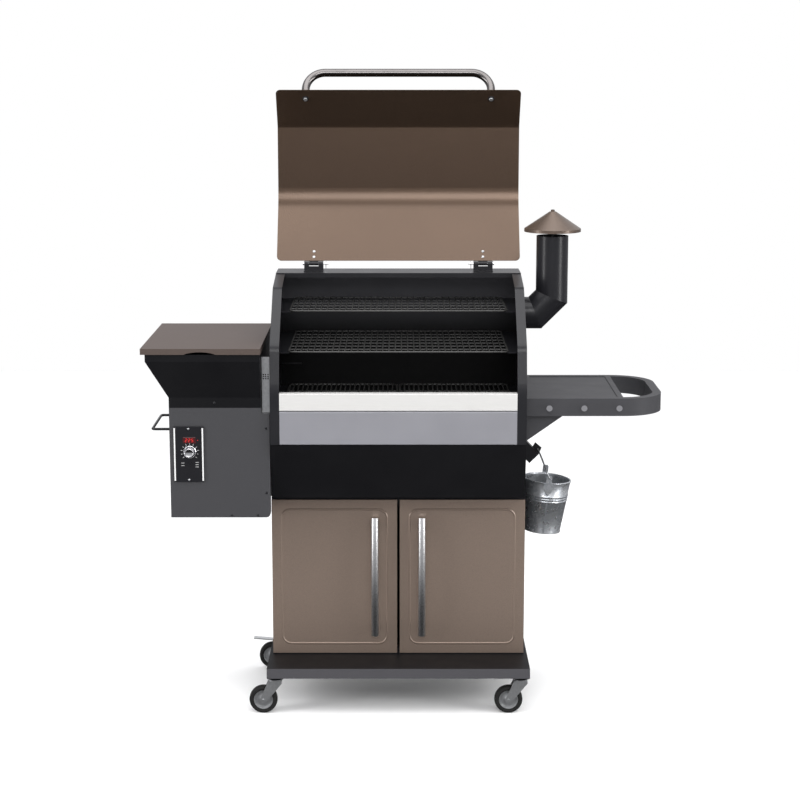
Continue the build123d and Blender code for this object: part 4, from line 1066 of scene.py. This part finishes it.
# %% Digits
SEGMENTS = {  # x, z and turn of each bar, in units of the digit's half height
    "top": (0, 1, 0), "middle": (0, 0, 0), "bottom": (0, -1, 0),
    "upper_left": (-0.5, 0.5, 90), "upper_right": (0.5, 0.5, 90),
    "lower_left": (-0.5, -0.5, 90), "lower_right": (0.5, -0.5, 90),
}
DIGITS = {
    "2": ("top", "upper_right", "middle", "lower_left", "bottom"),
    "5": ("top", "upper_left", "middle", "lower_right", "bottom"),
}
HALF_DIGIT, SLANT, DIGIT_STEP = 0.0046, 0.12, 0.0092
SEGMENT_LONG, SEGMENT_WIDE, SEGMENT_LEAN = 0.0039, 0.0011, 7
lamps = []
glass_x = (glass_low.x + glass_high.x) / 2
glass_z = (glass_low.z + glass_high.z) / 2
for column, digit in enumerate("225"):
    for segment in DIGITS[digit]:
        x, z, degrees = SEGMENTS[segment]
        bar_x = glass_x + (column - 1) * DIGIT_STEP + (x + z * SLANT) * HALF_DIGIT
        lean = degrees + (SEGMENT_LEAN if degrees else 0)
        lamps.append((bar_x, glass_z + z * HALF_DIGIT, glass_low.y, SEGMENT_LONG, SEGMENT_WIDE, lean))
lamps.append((glass_high.x + 0.006, glass_z, plate_face, 0.0022, 0.0022, 0))
keep("display_digits", bars("display_digits", lamps, 0.0003), "lit_red", "grill")

# %% [markdown]
# ## Dial marks
# Eleven ticks fan round the dial over its 260 degrees of marked travel, every other one longer, and a few dashes
# stand beside the push button. A polished ring closes the gap round the knob.

# %% Dial marks
MARKS, FIRST_MARK, MARK_STEP, MARK_REACH = 11, 220, 26, 0.0245
dial = Vector(JOINTS["knob_turn"]["pos_m"])
marks = []
for step in range(MARKS):
    turn_by = FIRST_MARK - MARK_STEP * step
    way = radians(turn_by)
    long = 0.0042 if step % 2 else 0.006
    spot_x, spot_z = dial.x + MARK_REACH * cos(way), dial.z + MARK_REACH * sin(way)
    marks.append((spot_x, spot_z, plate_face, long, 0.0009, -turn_by))
button_low, button_high = corners("power_button")
button = (button_low + button_high) / 2
for side, rows in ((-1, (0.004, -0.004)), (1, (0.006, -0.001, -0.008))):
    marks += [(button.x + side * 0.021, button.z + drop, plate_face, 0.009, 0.001, 0) for drop in rows]
keep("dial_marks", bars("dial_marks", marks, 0.0002), "print_white", "grill")
ring_line = [(0.0158, 0), (0.0158, 0.0012), (0.0166, 0.0019), (0.0182, 0.0019), (0.019, 0.0012), (0.019, 0)]
ring_line.append(ring_line[0])
dial_ring = turned("dial_ring", ring_line, (dial.x, plate_face, dial.z), (0, -1, 0), 64)
keep("dial_ring", with_sharp_edges(dial_ring), "polished_chrome", "grill")

# %% [markdown]
# The knob is a turned chrome cap with a fluted skirt, so that fingers can grip it. A raised line shows where it
# points. The flutes come from pushing every third point of the turned rings a little inwards.

# %% Knob
SKIRT_R, FLUTE_DEPTH = 0.0125, 0.06
knob_line = [(0, -0.002), (0.0145, -0.002), (0.0145, 0.0095), (0.0132, 0.0125)]
knob_line += [(0.0118, 0.0135), (0.0105, 0.0128), (0, 0.0124)]
knob = turned("dial_knob", knob_line, (dial.x, plate_face - 0.0022, dial.z), (0, -1, 0), 72)
for vertex in knob.vertices:
    from_axis = Vector((vertex.co.x - dial.x, 0, vertex.co.z - dial.z))
    if from_axis.length > SKIRT_R and vertex.index % 3 == 0:
        vertex.co -= from_axis * FLUTE_DEPTH
keep("dial_knob", with_sharp_edges(knob, 50), "polished_chrome", "knob", "control_knob")
pointer = [(dial.x, dial.z + 0.0062, plate_face - 0.0145, 0.0016, 0.0085, 0)]
keep("knob_pointer", bars("knob_pointer", pointer, 0.0006), "satin_plastic", "knob")

button_line = [(0, -0.003), (0.0048, -0.003), (0.0048, 0.002), (0.0042, 0.0028), (0.0025, 0.0026), (0, 0.0024)]
button_cap = turned("push_button", button_line, (button.x, plate_face - 0.0002, button.z), (0, -1, 0), 40)
keep("push_button", with_sharp_edges(button_cap), "satin_plastic", "button", "power_button")
